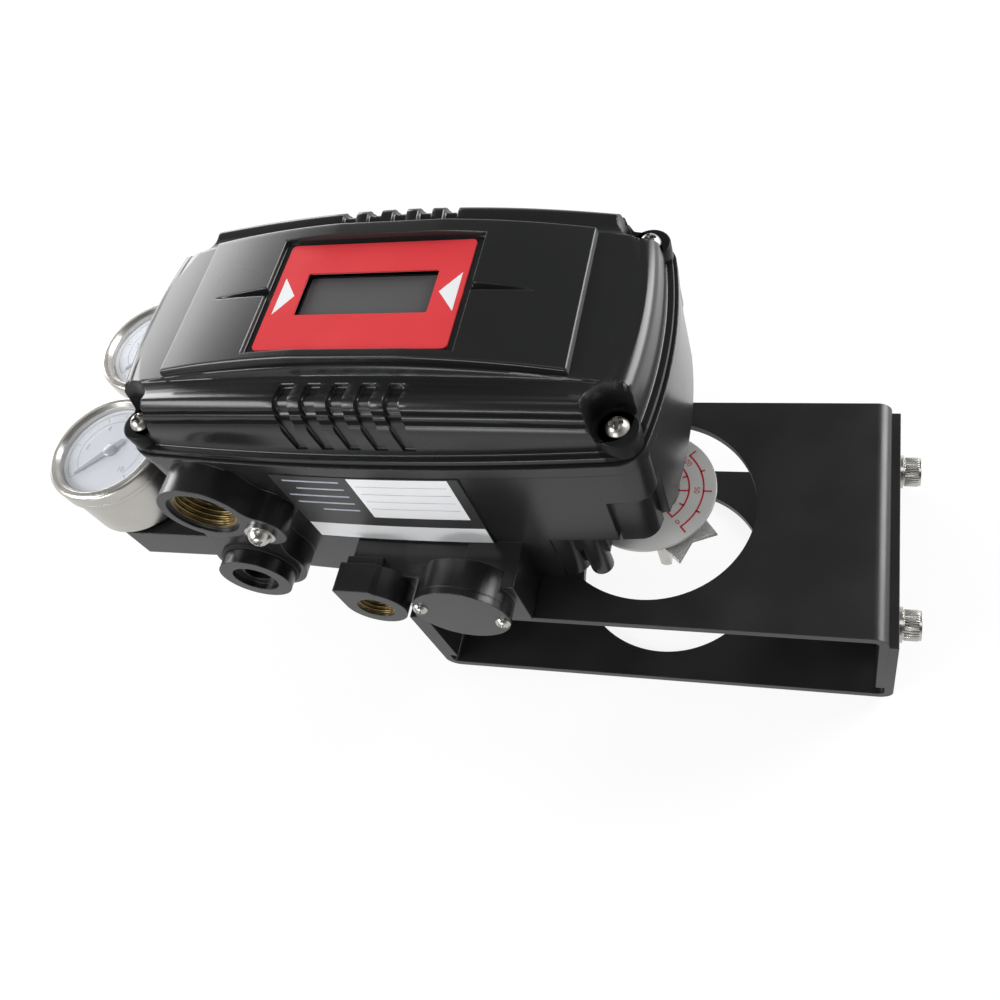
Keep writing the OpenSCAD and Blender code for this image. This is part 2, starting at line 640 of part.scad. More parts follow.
module back_gauge_case() color([0.72, 0.71, 0.68]) translate([0, gauge_y2, 0]) gauge_case();
module back_gauge_bezel() color([0.78, 0.77, 0.74]) translate([0, gauge_y2, 0]) gauge_bezel();
module back_gauge_dial() color([0.9, 0.92, 0.94]) translate([0, gauge_y2, 0]) gauge_dial();
module back_gauge_needle() color([0.3, 0.32, 0.35]) translate([0, gauge_y2, 0]) gauge_needle();
module back_gauge_lens() color([0.9, 0.93, 0.95, 0.3]) translate([0, gauge_y2, 0]) gauge_lens();
module back_gauge_stem() color([0.7, 0.6, 0.35]) translate([0, gauge_y2, 0]) gauge_stem();

// Shaft: round body, thrust collar inside, flat drive tang at its foot.
module feedback_shaft() color([0.75, 0.75, 0.73]) {
  rod(0, 0, 26, gear_z + gear_h + 4, shaft_r);
  rod(0, 0, gear_z - 2.2, gear_z, 8);
  intersection() {
    rod(0, 0, 14, 27, 4.5);
    box(-2, 2, -10, 10, 14, 27);
  }
  rod(0, 0, 44, hub_z, 7.5);
}
module shaft_bush() color([0.72, 0.58, 0.3]) difference() {
  union() {
    rod(0, 0, dial_z + 5, gear_z - 4, 8);
    rod(0, 0, step_z + 12, gear_z - 2.5, 10);
  }
  rod(0, 0, dial_z, gear_z, shaft_r + run_gap);
}
module shaft_seal() color([0.04, 0.04, 0.04]) difference() {
  rod(0, 0, dial_z + 0.6, dial_z + 5, 8);
  rod(0, 0, dial_z, dial_z + 6, shaft_r + run_gap);
}
module teeth(n, a0, a1) {
  step = 360 / n;
  rp = gear_m * n / 2;
  for (a = [a0 : step : a1]) rotate([0, 0, a]) polygon([[rp - 2, -0.9], [rp - 2, 0.9], [rp, 0.58],
    [rp + 0.85, 0.3], [rp + 0.85, -0.3], [rp, -0.58]]);
}
// Quarter-turn gear sector: only the arc that meets the pinion carries teeth.
module sector_gear() color([0.8, 0.7, 0.4]) translate([0, 0, gear_z]) difference() {
  union() {
    cylinder(h = gear_h, r = 9);
    linear_extrude(gear_h) teeth(gear_n, mesh_a - 9 * 360 / gear_n, mesh_a + 1.1 * 360 / gear_n);
    intersection() {
      cylinder(h = gear_h, r = gear_m * gear_n / 2 - 1.2);
      linear_extrude(gear_h) rotate([0, 0, mesh_a - 45]) polygon([[0, 0], [17, -30], [60, 0], [17, 30]]);
    }
  }
  translate([0, 0, -1]) cylinder(h = 10, r = shaft_r);
}
module potentiometer() color([0.15, 0.17, 0.2]) difference() {
  rod(pin_x, pin_y, gear_z + gear_h + 1, board_z, 9.5);
  rod(pin_x, pin_y, gear_z + gear_h - 1, board_z - 1, 3 + run_gap);
}
module pot_pinion() color([0.85, 0.85, 0.8]) translate([pin_x, pin_y, 0]) {
  translate([0, 0, gear_z]) linear_extrude(gear_h) {
    teeth(pin_n, mesh_a + 180 + 180 / pin_n, mesh_a + 530);
    circle(gear_m * pin_n / 2 - 1.2);
  }
  rod(0, 0, gear_z + 1, board_z - 3, 3);
}
module indicator_dial() color([0.62, 0.62, 0.6]) difference() {
  rod(0, 0, dial_z - 1.2, dial_z, dial_r);
  rod(0, 0, dial_z - 2, dial_z + 1, shaft_r + 1);
  for (s = [-1, 1]) rod(0, s * dial_sr, dial_z - 3, dial_z + 1, 1.1);
}
module dial_screws() color([0.75, 0.74, 0.7]) for (s = [-1, 1]) {
  rod(0, s * dial_sr, dial_z - 2.2, dial_z - 1.2, 1.8);
  rod(0, s * dial_sr, dial_z - 1.5, dial_z + 4, 1.05);
}
// Fish-tail pointer: the notch between its two tips reads the scale.
module pointer() color([0.85, 0.85, 0.83]) difference() {
  union() {
    translate([0, 0, 54.4]) linear_extrude(1.6) {
      circle(9);
      rotate([0, 0, -45]) polygon([[0, -8], [14, -9], [tip_r * cos(17), -tip_r * sin(17)], [22.9, 0],
        [tip_r * cos(17), tip_r * sin(17)], [14, 9], [0, 8]]);
    }
    rod(0, 0, hub_z, 55, 9);
  }
  rod(0, 0, 50, 60, shaft_r);
  rod_x(4, 12, 0, hub_z + 1.8, 1.2);
}
module pointer_screw() color([0.6, 0.6, 0.58]) rod_x(shaft_r + 0.2, 9.6, 0, hub_z + 1.8, 1.15);

// Bent sheet with round outside and inside bends, seen along Y.
module channel(hx, z0, z1) {
  difference() {
    union() {
      translate([-hx + 5, z0]) square([2 * hx - 10, z1 - z0]);
      translate([-hx, z0]) square([2 * hx, z1 - z0 - 5]);
      for (s = [-1, 1]) translate([s * (hx - 5), z1 - 5]) circle(5);
    }
    translate([-hx + sheet + 2, z0 - 1]) square([2 * (hx - sheet - 2), z1 - z0 - sheet + 1]);
    translate([-hx + sheet, z0 - 1]) square([2 * (hx - sheet), z1 - z0 - sheet - 1]);
    for (s = [-1, 1]) translate([s * (hx - sheet - 2), z1 - sheet - 2]) circle(2, $fn = 48);
  }
}
module upper_bracket() color([0.07, 0.07, 0.072]) difference() {
  translate([0, br_dep / 2, 0]) rotate([90, 0, 0]) linear_extrude(br_dep) channel(br_len / 2, 9, br_h);
  rod(0, 0, 40, 60, window_r);
  for (x = base_bx, y = [-base_by, base_by]) rod(x, y, 40, 60, 3.3);
  for (y = [-bolt_y, bolt_y]) rod_x(-100, 100, y, bolt_z, 3.3);
}
module lower_bracket() color([0.065, 0.065, 0.068]) difference() {
  translate([0, br_dep / 2, 0]) rotate([90, 0, 0]) linear_extrude(br_dep)
    translate([0, flange_h]) scale([1, -1]) channel(br_len / 2 + sheet, 0, flange_h);
  rod(0, 0, -1, 6, window_r - 1);
  for (sx = [-1, 1], sy = [-1, 1]) rod(sx * foot_sx / 2, sy * foot_sy / 2, -1, 6, foot_r);
  for (y = [-bolt_y, bolt_y]) rod_x(-100, 100, y, bolt_z, 3.3);
}
module sides() for (s = [0, 180], y = [-bolt_y, bolt_y]) rotate([0, 0, s]) translate([0, y, bolt_z])
  rotate([0, 90, 0]) children();
module bracket_screws() color([0.74, 0.73, 0.7]) sides() difference() {
  union() {
    translate([0, 0, br_len / 2 + sheet + 1.6]) cylinder(h = 6, r = 5);
    translate([0, 0, br_len / 2 - 11]) cylinder(h = 14 + sheet, r = 3);
  }
  translate([0, 0, br_len / 2 + sheet + 4.6]) cylinder(h = 4, r = 2.9, $fn = 6);
}
module bracket_washers() color([0.7, 0.69, 0.66]) sides() difference() {
  translate([0, 0, br_len / 2 + sheet]) cylinder(h = 1.6, r = 6);
  translate([0, 0, br_len / 2]) cylinder(h = 8, r = 3.2);
}
module bracket_nuts() color([0.7, 0.69, 0.66]) sides() difference() {
  translate([0, 0, br_len / 2 - sheet - 5]) cylinder(h = 5, r = 5.75, $fn = 6);
  translate([0, 0, br_len / 2 - 12]) cylinder(h = 12, r = 3.05);
}
module base_bolts() color([0.72, 0.71, 0.68]) for (x = base_bx, y = [-base_by, base_by]) {
  rod(x, y, br_h - sheet - 4, br_h - sheet, 5);
  rod(x, y, br_h - sheet - 1, br_h + 3.5, 3);
}

base_housing();
front_cover();
cover_gasket();
cover_screws();
display_label();
display_window();
window_gasket();
lcd_module();
display_frame();
inner_panel();
button_up();
button_down();
button_enter();
button_back();
main_board();
terminal_block();
terminal_screws();
torque_motor();
pilot_valve_body();
pilot_spool();
pilot_cap();
pilot_cap_screws();
conduit_plug();
conduit_plug_seal();
ground_screw();
ground_washer();
nameplate();
gauge_block();
front_gauge_case();
front_gauge_bezel();
front_gauge_dial();
front_gauge_needle();
front_gauge_lens();
front_gauge_stem();
back_gauge_case();
back_gauge_bezel();
back_gauge_dial();
back_gauge_needle();
back_gauge_lens();
back_gauge_stem();
feedback_shaft();
shaft_bush();
shaft_seal();
sector_gear();
potentiometer();
pot_pinion();
indicator_dial();
dial_screws();
pointer();
pointer_screw();
upper_bracket();
lower_bracket();
bracket_screws();
bracket_washers();
bracket_nuts();
base_bolts();
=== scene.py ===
# %% [markdown]
# # A rotary valve positioner, dressed
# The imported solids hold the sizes, fits and joints of a valve positioner on its sheet bracket.
# This lesson gives them their looks: paint, steel, print, threads and the soft cast forms of the cover.
# Every length below is in millimetres and is turned into metres once, when a mesh is made.

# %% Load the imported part
import json

import bmesh
import bpy
import numpy as np
from mathutils import Matrix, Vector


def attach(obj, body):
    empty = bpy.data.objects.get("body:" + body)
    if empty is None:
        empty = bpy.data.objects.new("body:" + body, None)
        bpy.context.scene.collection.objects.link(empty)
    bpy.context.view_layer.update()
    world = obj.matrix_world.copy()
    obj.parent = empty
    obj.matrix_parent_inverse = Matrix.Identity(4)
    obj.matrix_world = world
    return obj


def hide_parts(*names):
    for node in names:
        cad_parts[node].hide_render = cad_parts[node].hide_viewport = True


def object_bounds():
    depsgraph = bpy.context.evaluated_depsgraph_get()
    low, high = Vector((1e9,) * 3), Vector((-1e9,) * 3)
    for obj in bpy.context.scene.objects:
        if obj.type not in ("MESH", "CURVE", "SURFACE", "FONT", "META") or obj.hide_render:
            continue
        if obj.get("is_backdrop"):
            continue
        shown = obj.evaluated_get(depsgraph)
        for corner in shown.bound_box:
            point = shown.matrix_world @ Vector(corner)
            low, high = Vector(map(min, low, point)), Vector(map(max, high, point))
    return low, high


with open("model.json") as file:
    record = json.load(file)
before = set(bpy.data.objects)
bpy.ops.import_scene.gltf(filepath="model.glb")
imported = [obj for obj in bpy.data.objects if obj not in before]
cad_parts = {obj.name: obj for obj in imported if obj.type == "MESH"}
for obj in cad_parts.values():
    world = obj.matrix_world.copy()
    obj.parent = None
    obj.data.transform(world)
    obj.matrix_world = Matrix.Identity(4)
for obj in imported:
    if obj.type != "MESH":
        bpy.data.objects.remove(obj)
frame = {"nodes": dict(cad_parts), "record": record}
cad_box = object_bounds()
nodes = frame["nodes"]
MM = 0.001

# %% [markdown]
# ## Camera
# A camera is a place and three directions. Turning angles could be typed in, but the three directions
# come straight out of matching the part's corners to the photograph, so they are written as they are.

# %% Camera
CAMERA_PLACE = (0.068389, -0.169814, 0.341478)
CAMERA_RIGHT = (0.96607786, 0.15680009, -0.20520065)
CAMERA_UP = (-0.03141701, 0.86003422, 0.50926821)
CAMERA_BACK = (0.25633288, -0.48554595, 0.83578621)
lens = bpy.data.cameras.new("studio_view")
lens.sensor_width = 36.0
lens.lens = 35.34
lens.shift_x = -0.0950
lens.shift_y = 0.0057
lens.clip_start = 0.01
camera = bpy.data.objects.new("studio_view", lens)
turn = Matrix((CAMERA_RIGHT, CAMERA_UP, CAMERA_BACK)).transposed().to_4x4()
camera.matrix_world = Matrix.Translation(CAMERA_PLACE) @ turn
scene = bpy.context.scene
scene.collection.objects.link(camera)
scene.camera = camera
scene.view_settings.view_transform = "Standard"
print("camera height", round(CAMERA_PLACE[2], 3), "m")

# %% [markdown]
# ## Meshes from arrays
# Nearly every new piece is a grid of points: rows along one parameter, columns along the other.
# One helper numbers the quads of such a grid and another joins several grids into one object,
# so that a piece is only ever a formula for its points.

# %% Grid helpers
def lattice(rows, cols, wrap_rows=False, wrap_cols=False):
    """Quads of a grid: each joins a point to its right and lower neighbours; a wrapped side closes on itself."""
    r, c = np.meshgrid(np.arange(rows - (not wrap_rows)), np.arange(cols - (not wrap_cols)), indexing="ij")
    r2, c2 = (r + 1) % rows, (c + 1) % cols
    return np.stack([r * cols + c, r * cols + c2, r2 * cols + c2, r2 * cols + c], axis=-1).reshape(-1, 4)


def joined(sheets):
    """Points and faces of several (points, faces) pairs in one list."""
    points, faces, first = [], [], 0
    for sheet_points, sheet_faces in sheets:
        points.append(np.asarray(sheet_points, float).reshape(-1, 3))
        faces.extend([[int(i) + first for i in face] for face in sheet_faces])
        first += len(points[-1])
    return np.concatenate(points), faces


def grid(points, wrap_rows=False, wrap_cols=False):
    """A rows x cols x 3 array of points with its quads."""
    return points, lattice(points.shape[0], points.shape[1], wrap_rows, wrap_cols)


def make(name, sheets, finish, body="housing", closed=True, sharp=38.0):
    """An object from sheets of points in mm: doubles merged, faces turned outwards, sharp edges kept."""
    points, faces = joined(sheets)
    mesh = bpy.data.meshes.new(name)
    mesh.from_pydata(points * MM, [], faces)
    work = bmesh.new()
    work.from_mesh(mesh)
    bmesh.ops.remove_doubles(work, verts=work.verts, dist=1e-7)
    bmesh.ops.dissolve_degenerate(work, edges=work.edges, dist=1e-8)
    if closed:
        bmesh.ops.recalc_face_normals(work, faces=work.faces)
    work.to_mesh(mesh)
    work.free()
    mesh.polygons.foreach_set("use_smooth", np.ones(len(mesh.polygons), bool))
    mesh.set_sharp_from_angle(angle=np.radians(sharp))
    mesh.materials.append(finish)
    thing = bpy.data.objects.new(name, mesh)
    scene.collection.objects.link(thing)
    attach(thing, body)
    print(name, len(mesh.vertices), "points", len(mesh.polygons), "faces")
    return thing


def smooth(low, high, x):
    """Smooth step: 0 below low, 1 above high, and 3t^2 - 2t^3 between."""
    t = np.clip((x - low) / (high - low), 0, 1)
    return t * t * (3 - 2 * t)


# %% [markdown]
# ## Floor and light
# The part is shot on white. Lighting the floor until it burns out would also wash out the part,
# so the floor and the sky are white only to the rays that look at them straight or through glass.
# Black paint shows little but reflections, so mirror rays see a floor and a sky that are dimmer in front.
# Two soft boxes low behind the part draw the pale end of the cover and its rolled edge,
# and two in front draw the lines along the shoulder.

# %% Floor, sky and soft boxes
def ramp(tree, value, limits, soft=False):
    """A number carried from one span to another; limits are the two ends it comes from, then the two it goes to."""
    span = tree.nodes.new("ShaderNodeMapRange")
    if soft:
        span.interpolation_type = "SMOOTHSTEP"
    for name, limit in zip(("From Min", "From Max", "To Min", "To Max"), limits):
        span.inputs[name].default_value = limit
    tree.links.new(value, span.inputs["Value"])
    return span.outputs[0]


def background_mix(tree, seen, lit):
    """Shader seen by camera, mirror and glass rays, mixed with the one that lights the part."""
    path = tree.nodes.new("ShaderNodeLightPath")
    either = tree.nodes.new("ShaderNodeMath")
    either.operation = "MAXIMUM"
    tree.links.new(path.outputs["Is Camera Ray"], either.inputs[0])
    tree.links.new(path.outputs["Is Transmission Ray"], either.inputs[1])
    either2 = tree.nodes.new("ShaderNodeMath")
    either2.operation = "MAXIMUM"
    tree.links.new(either.outputs[0], either2.inputs[0])
    tree.links.new(path.outputs["Is Glossy Ray"], either2.inputs[1])
    mix = tree.nodes.new("ShaderNodeMixShader")
    tree.links.new(either2.outputs[0], mix.inputs[0])
    tree.links.new(lit, mix.inputs[1])
    tree.links.new(seen, mix.inputs[2])
    return mix.outputs[0], path


# Floor's half width in metres; its level by distance in metres, and in a mirror by the place along Y
FLOOR_HALF = 6.0
FLOOR_SEEN = (0.4, 1.1, 0.86, 1.0)
FLOOR_MIRRORED = (-0.08, 0.16, 0.58, 1.0)
# The sky's level in a mirror, by the direction's Z and by its Y
SKY_BY_HEIGHT = (0.16, 0.62, 1.0, 0.22)
SKY_BY_FRONT = (-0.8, -0.1, 0.3, 1.0)
SKY_LIGHT = 0.22
floor_mesh = bpy.data.meshes.new("floor")
corner = np.array([[-1, -1, 0], [1, -1, 0], [1, 1, 0], [-1, 1, 0]], float) * FLOOR_HALF
floor_mesh.from_pydata(corner - [0, 0, 0.0002], [], [(0, 1, 2, 3)])
floor = bpy.data.objects.new("floor", floor_mesh)
scene.collection.objects.link(floor)
floor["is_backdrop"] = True
floor_paint = bpy.data.materials.new("floor_white")
floor_paint.use_nodes = True
tree = floor_paint.node_tree
tree.nodes.remove(tree.nodes["Principled BSDF"])
matte = tree.nodes.new("ShaderNodeBsdfDiffuse")
matte.inputs["Color"].default_value = (0.86, 0.86, 0.86, 1)
glow = tree.nodes.new("ShaderNodeEmission")
spot = tree.nodes.new("ShaderNodeNewGeometry")
away = tree.nodes.new("ShaderNodeVectorMath")
away.operation = "LENGTH"
tree.links.new(spot.outputs["Position"], away.inputs[0])
rising = ramp(tree, away.outputs["Value"], FLOOR_SEEN)
place = tree.nodes.new("ShaderNodeSeparateXYZ")
tree.links.new(spot.outputs["Position"], place.inputs[0])
behind = ramp(tree, place.outputs["Y"], FLOOR_MIRRORED, soft=True)
both = tree.nodes.new("ShaderNodeAddShader")
thin = tree.nodes.new("ShaderNodeBsdfDiffuse")
thin.inputs["Color"].default_value = (0.16, 0.16, 0.16, 1)
tree.links.new(glow.outputs[0], both.inputs[0])
tree.links.new(thin.outputs[0], both.inputs[1])
surface, path = background_mix(tree, both.outputs[0], matte.outputs[0])
level = tree.nodes.new("ShaderNodeMix")
tree.links.new(path.outputs["Is Glossy Ray"], level.inputs["Factor"])
tree.links.new(rising, level.inputs["A"])
tree.links.new(behind, level.inputs["B"])
tree.links.new(level.outputs["Result"], glow.inputs["Strength"])
tree.links.new(surface, tree.nodes["Material Output"].inputs["Surface"])
floor_mesh.materials.append(floor_paint)

sky = bpy.data.worlds.new("studio")
scene.world = sky
sky.use_nodes = True
tree = sky.node_tree
lit = tree.nodes["Background"]
lit.inputs["Color"].default_value = (1, 1, 1, 1)
lit.inputs["Strength"].default_value = SKY_LIGHT
direction = tree.nodes.new("ShaderNodeTexCoord")
split = tree.nodes.new("ShaderNodeSeparateXYZ")
mirrored = tree.nodes.new("ShaderNodeBackground")
tree.links.new(direction.outputs["Generated"], split.inputs[0])
dimmed = tree.nodes.new("ShaderNodeMath")
dimmed.operation = "MULTIPLY"
tree.links.new(ramp(tree, split.outputs["Z"], SKY_BY_HEIGHT, soft=True), dimmed.inputs[0])
tree.links.new(ramp(tree, split.outputs["Y"], SKY_BY_FRONT, soft=True), dimmed.inputs[1])
tree.links.new(dimmed.outputs[0], mirrored.inputs["Strength"])
plain = tree.nodes.new("ShaderNodeBackground")
plain.inputs["Color"].default_value = (1, 1, 1, 1)
choose = tree.nodes.new("ShaderNodeMixShader")
surface, path = background_mix(tree, choose.outputs[0], lit.outputs[0])
tree.links.new(path.outputs["Is Glossy Ray"], choose.inputs[0])
tree.links.new(plain.outputs[0], choose.inputs[1])
tree.links.new(mirrored.outputs[0], choose.inputs[2])
tree.links.new(surface, tree.nodes["World Output"].inputs["Surface"])

AIM = np.array([-0.05, 0.01, 0.10])


def soft_box(name, azimuth, elevation, distance, width, height, radiance):
    """A rectangular light aimed at the part; its power is 4 x area x radiance."""
    a, e = np.radians([azimuth, elevation])
    towards = np.array([np.cos(e) * np.cos(a), np.cos(e) * np.sin(a), np.sin(e)])
    side = np.array([-np.sin(a), np.cos(a), 0])
    up = np.cross(towards, side)
    lamp = bpy.data.lights.new(name, "AREA")
    lamp.shape = "RECTANGLE"
    lamp.size = width
    lamp.size_y = height
    lamp.energy = 4 * width * height * radiance
    box = bpy.data.objects.new(name, lamp)
    facing = Matrix((side, up, towards)).transposed().to_4x4()
    box.matrix_world = Matrix.Translation(AIM + towards * distance) @ facing
    scene.collection.objects.link(box)


soft_box("left_rear_box", 144, 10, 1.3, 1.16, 0.54, 4.2)
soft_box("right_rear_box", 36, 20, 1.3, 0.8, 0.8, 7.5)
soft_box("front_strip", -102, 6, 1.3, 0.6, 0.24, 6.5)
soft_box("front_key", -146, 33, 1.2, 0.8, 0.46, 6.5)
soft_box("top_fill", -60, 74, 1.3, 0.7, 0.5, 1.2)

# %% [markdown]
# ## Finishes
# A finish is a Principled shader whose colour, roughness and surface relief each drift a little,
# at the size the real one does: paint has orange peel of about a millimetre, steel has turning lines,
# film and plastic have a fine grain. All patterns read object coordinates, so they stay put as parts move.
# The solids have keen edges where the castings are a little round, so a rounding of the shading softens them.

# %% Finish helpers
NOISE_SPAN = (0.15, 0.85)


def blank(name):
    """A new material with its tree and Principled shader."""
    material = bpy.data.materials.new(name)
    material.use_nodes = True
    return material, material.node_tree, material.node_tree.nodes["Principled BSDF"]


def grain(tree, size, detail=3.0, stretch=(1, 1, 1)):
    """Noise with spots about size mm across, stretched along the axes by the inverse of stretch."""
    place = tree.nodes.new("ShaderNodeTexCoord")
    mapping = tree.nodes.new("ShaderNodeMapping")
    mapping.inputs["Scale"].default_value = stretch
    noise = tree.nodes.new("ShaderNodeTexNoise")
    noise.inputs["Scale"].default_value = 1000.0 / size
    noise.inputs["Detail"].default_value = detail
    tree.links.new(place.outputs["Object"], mapping.inputs["Vector"])
    tree.links.new(mapping.outputs["Vector"], noise.inputs["Vector"])
    return noise.outputs["Fac"]


def drift(tree, fac, low, high, socket):
    """Carries the noise's span over to a socket that runs from low to high."""
    tree.links.new(ramp(tree, fac, (*NOISE_SPAN, low, high)), socket)


def tint(tree, fac, dark, light, socket):
    """Blends two colours by a noise."""
    blend = tree.nodes.new("ShaderNodeValToRGB")
    for element, position, colour in zip(blend.color_ramp.elements, NOISE_SPAN, (dark, light)):
        element.position = position
        element.color = (*colour, 1)
    tree.links.new(fac, blend.inputs["Fac"])
    tree.links.new(blend.outputs["Color"], socket)


def relief(tree, shader, fac, depth, edge=0.0):
    """Bump of about depth mm from a height between 0 and 1; edge rounds keen corners over that many mm."""
    bump = tree.nodes.new("ShaderNodeBump")
    bump.inputs["Strength"].default_value = 1.0
    bump.inputs["Distance"].default_value = depth * MM
    tree.links.new(fac, bump.inputs["Height"])
    if edge:
        soft = tree.nodes.new("ShaderNodeBevel")
        soft.samples = 4
        soft.inputs["Radius"].default_value = edge * MM
        tree.links.new(soft.outputs["Normal"], bump.inputs["Normal"])
    tree.links.new(bump.outputs["Normal"], shader.inputs["Normal"])


def coating(name, dark, light, rough, peel, depth, edge=0.0, cloud=40.0, metal=0.0, stretch=(1, 1, 1)):
    """Paint, plastic or metal: colour clouds, roughness clouds and a fine relief of size peel."""
    material, tree, shader = blank(name)
    clouds = grain(tree, cloud, 1.0)
    tint(tree, clouds, dark, light, shader.inputs["Base Color"])
    drift(tree, clouds, rough[0], rough[1], shader.inputs["Roughness"])
    relief(tree, shader, grain(tree, peel, 2.0, stretch), depth, edge)
    shader.inputs["Metallic"].default_value = metal
    return material, tree, shader


# %% [markdown]
# ## One finish for each material of the record
# The record names the material of every node, so the finishes are kept under those names
# and handed out in one loop.

# %% Finishes
finishes = {}


def keep(slot, *args, **more):
    """Makes a coating and files it under its slot."""
    finishes[slot] = coating(slot, *args, **more)[0]


keep("cover_black", (0.0095, 0.0098, 0.0105), (0.0125, 0.0128, 0.0135), (0.23, 0.29), 0.9, 0.003)
cover_tree = finishes["cover_black"].node_tree
# Painted shade: the cover shell's recess attribute turns the paint's specular level down from 0.5 to nothing on the
# walls between the shoulder's beads and in the screw pockets, standing in for the shade in them.
mark = cover_tree.nodes.new("ShaderNodeAttribute")
mark.attribute_name = "recess"
shade_specular = ramp(cover_tree, mark.outputs["Fac"], (0.0, 1.0, 0.5, 0.0))
cover_tree.links.new(shade_specular, cover_tree.nodes["Principled BSDF"].inputs["Specular IOR Level"])
keep("housing_black", (0.013, 0.013, 0.0135), (0.017, 0.017, 0.0175), (0.21, 0.28), 0.8, 0.006, edge=0.6)
keep("bracket_black", (0.009, 0.009, 0.0092), (0.016, 0.016, 0.016), (0.28, 0.4), 0.6, 0.006, edge=0.35, cloud=22)
keep("rubber_black", (0.012, 0.012, 0.012), (0.02, 0.02, 0.02), (0.55, 0.7), 0.4, 0.02)
keep("plug_black", (0.009, 0.009, 0.0095), (0.013, 0.013, 0.0135), (0.2, 0.3), 0.7, 0.01, edge=0.5)
keep("stainless", (0.55, 0.54, 0.51), (0.68, 0.66, 0.62), (0.17, 0.3), 0.5, 0.004, edge=0.25, cloud=3, metal=1.0)
keep("screw_steel", (0.42, 0.41, 0.39), (0.52, 0.5, 0.47), (0.28, 0.38), 0.5, 0.003, edge=0.15, cloud=3, metal=1.0)
keep("bright_steel", (0.62, 0.62, 0.61), (0.72, 0.72, 0.7), (0.22, 0.3), 0.5, 0.003, edge=0.6, cloud=4, metal=0.8)
keep("gauge_steel", (0.58, 0.56, 0.52), (0.68, 0.66, 0.62), (0.24, 0.34), 1.2, 0.004, edge=0.4, cloud=14, metal=1.0,
     stretch=(0.15, 0.15, 6))
keep("valve_alloy", (0.5, 0.5, 0.51), (0.6, 0.6, 0.61), (0.3, 0.42), 0.8, 0.01, edge=0.4, metal=1.0)
keep("brass", (0.55, 0.4, 0.16), (0.68, 0.52, 0.24), (0.22, 0.36), 0.8, 0.006, edge=0.25, cloud=6, metal=1.0)
keep("dial_silver", (0.5, 0.5, 0.49), (0.58, 0.58, 0.57), (0.36, 0.46), 0.5, 0.004, edge=0.3, cloud=12, metal=0.3)
keep("frame_plastic", (0.018, 0.018, 0.02), (0.026, 0.026, 0.028), (0.4, 0.55), 0.5, 0.015, edge=0.3)
keep("panel_grey", (0.12, 0.13, 0.14), (0.16, 0.17, 0.18), (0.4, 0.55), 0.5, 0.015, edge=0.3)
keep("button_grey", (0.36, 0.37, 0.38), (0.44, 0.45, 0.46), (0.4, 0.5), 0.4, 0.01, edge=0.3, cloud=4)
keep("board_green", (0.01, 0.11, 0.05), (0.02, 0.18, 0.08), (0.25, 0.4), 1.5, 0.01, cloud=6)
keep("terminal_green", (0.03, 0.2, 0.09), (0.05, 0.27, 0.13), (0.35, 0.5), 0.6, 0.015, edge=0.3)
keep("coil_brown", (0.2, 0.08, 0.03), (0.36, 0.17, 0.06), (0.25, 0.4), 0.5, 0.03, cloud=5, stretch=(0.2, 0.2, 3))
keep("name_grey", (0.036, 0.036, 0.037), (0.05, 0.05, 0.051), (0.34, 0.44), 0.4, 0.004, metal=0.2)
keep("dial_white", (0.78, 0.81, 0.88), (0.84, 0.87, 0.93), (0.3, 0.4), 0.5, 0.003)
keep("needle_dark", (0.4, 0.42, 0.46), (0.5, 0.52, 0.56), (0.3, 0.42), 0.4, 0.004, metal=0.4)
keep("label_red", (0.66, 0.036, 0.044), (0.73, 0.046, 0.054), (0.26, 0.34), 0.35, 0.001, cloud=18)
keep("lcd_grey", (0.085, 0.09, 0.093), (0.1, 0.106, 0.11), (0.22, 0.3), 0.6, 0.002, cloud=9)
for slot, colour, rough, cover in (("clear_pane", 0.9, 0.05, 0.1), ("smoked_pane", 0.105, 0.24, 0.86)):
    pane, tree, shader = coating(slot, (colour, colour, colour), (colour * 1.06, colour * 1.08, colour * 1.1),
                                 (rough, rough * 1.4), 2.0, 0.001, cloud=25)
    shader.inputs["Alpha"].default_value = cover
    finishes[slot] = pane
own_finish = {"display_window": "smoked_pane", "pointer": "bright_steel"}
for part in frame["record"]["subparts"]:
    mesh = nodes[part["node"]].data
    mesh.materials.clear()
    mesh.materials.append(finishes[own_finish.get(part["node"], part["material_slot"])])
print("finishes", len(finishes))

# %% [markdown]
# ## The housing's outline
# Seen from above the housing is a rectangle with four bowed sides and round corners: two long arcs, two end arcs
# and four corner arcs that touch them. Every point is a centre plus a radius along its outward direction,
# so an outline set in by some amount is the same table with smaller radii.

# %% Outline of the housing
BODY = np.array([-72.0, 14.4])
PARTING = 119.0
HALF_LEN, HALF_DEP = 87.7, 45.3
SIDE_R, END_R, CORNER_R = 1000.0, 165.0, 9.9
SLOT_AT = -1.5 + 8.7 * np.arange(-2, 3)
SLOT_HALF = 2.4


def crossing(a, ra, b, rb):
    """Where two circles meet, on the side with positive x and y: along the line of centres, then across it."""
    way = b - a
    far = np.hypot(*way)
    along = (ra**2 - rb**2 + far**2) / (2 * far)
    across = np.sqrt(ra**2 - along**2)
    both = [a + way / far * along + side * np.array([-way[1], way[0]]) / far * across for side in (-1, 1)]
    return max(both, key=lambda p: min(p))


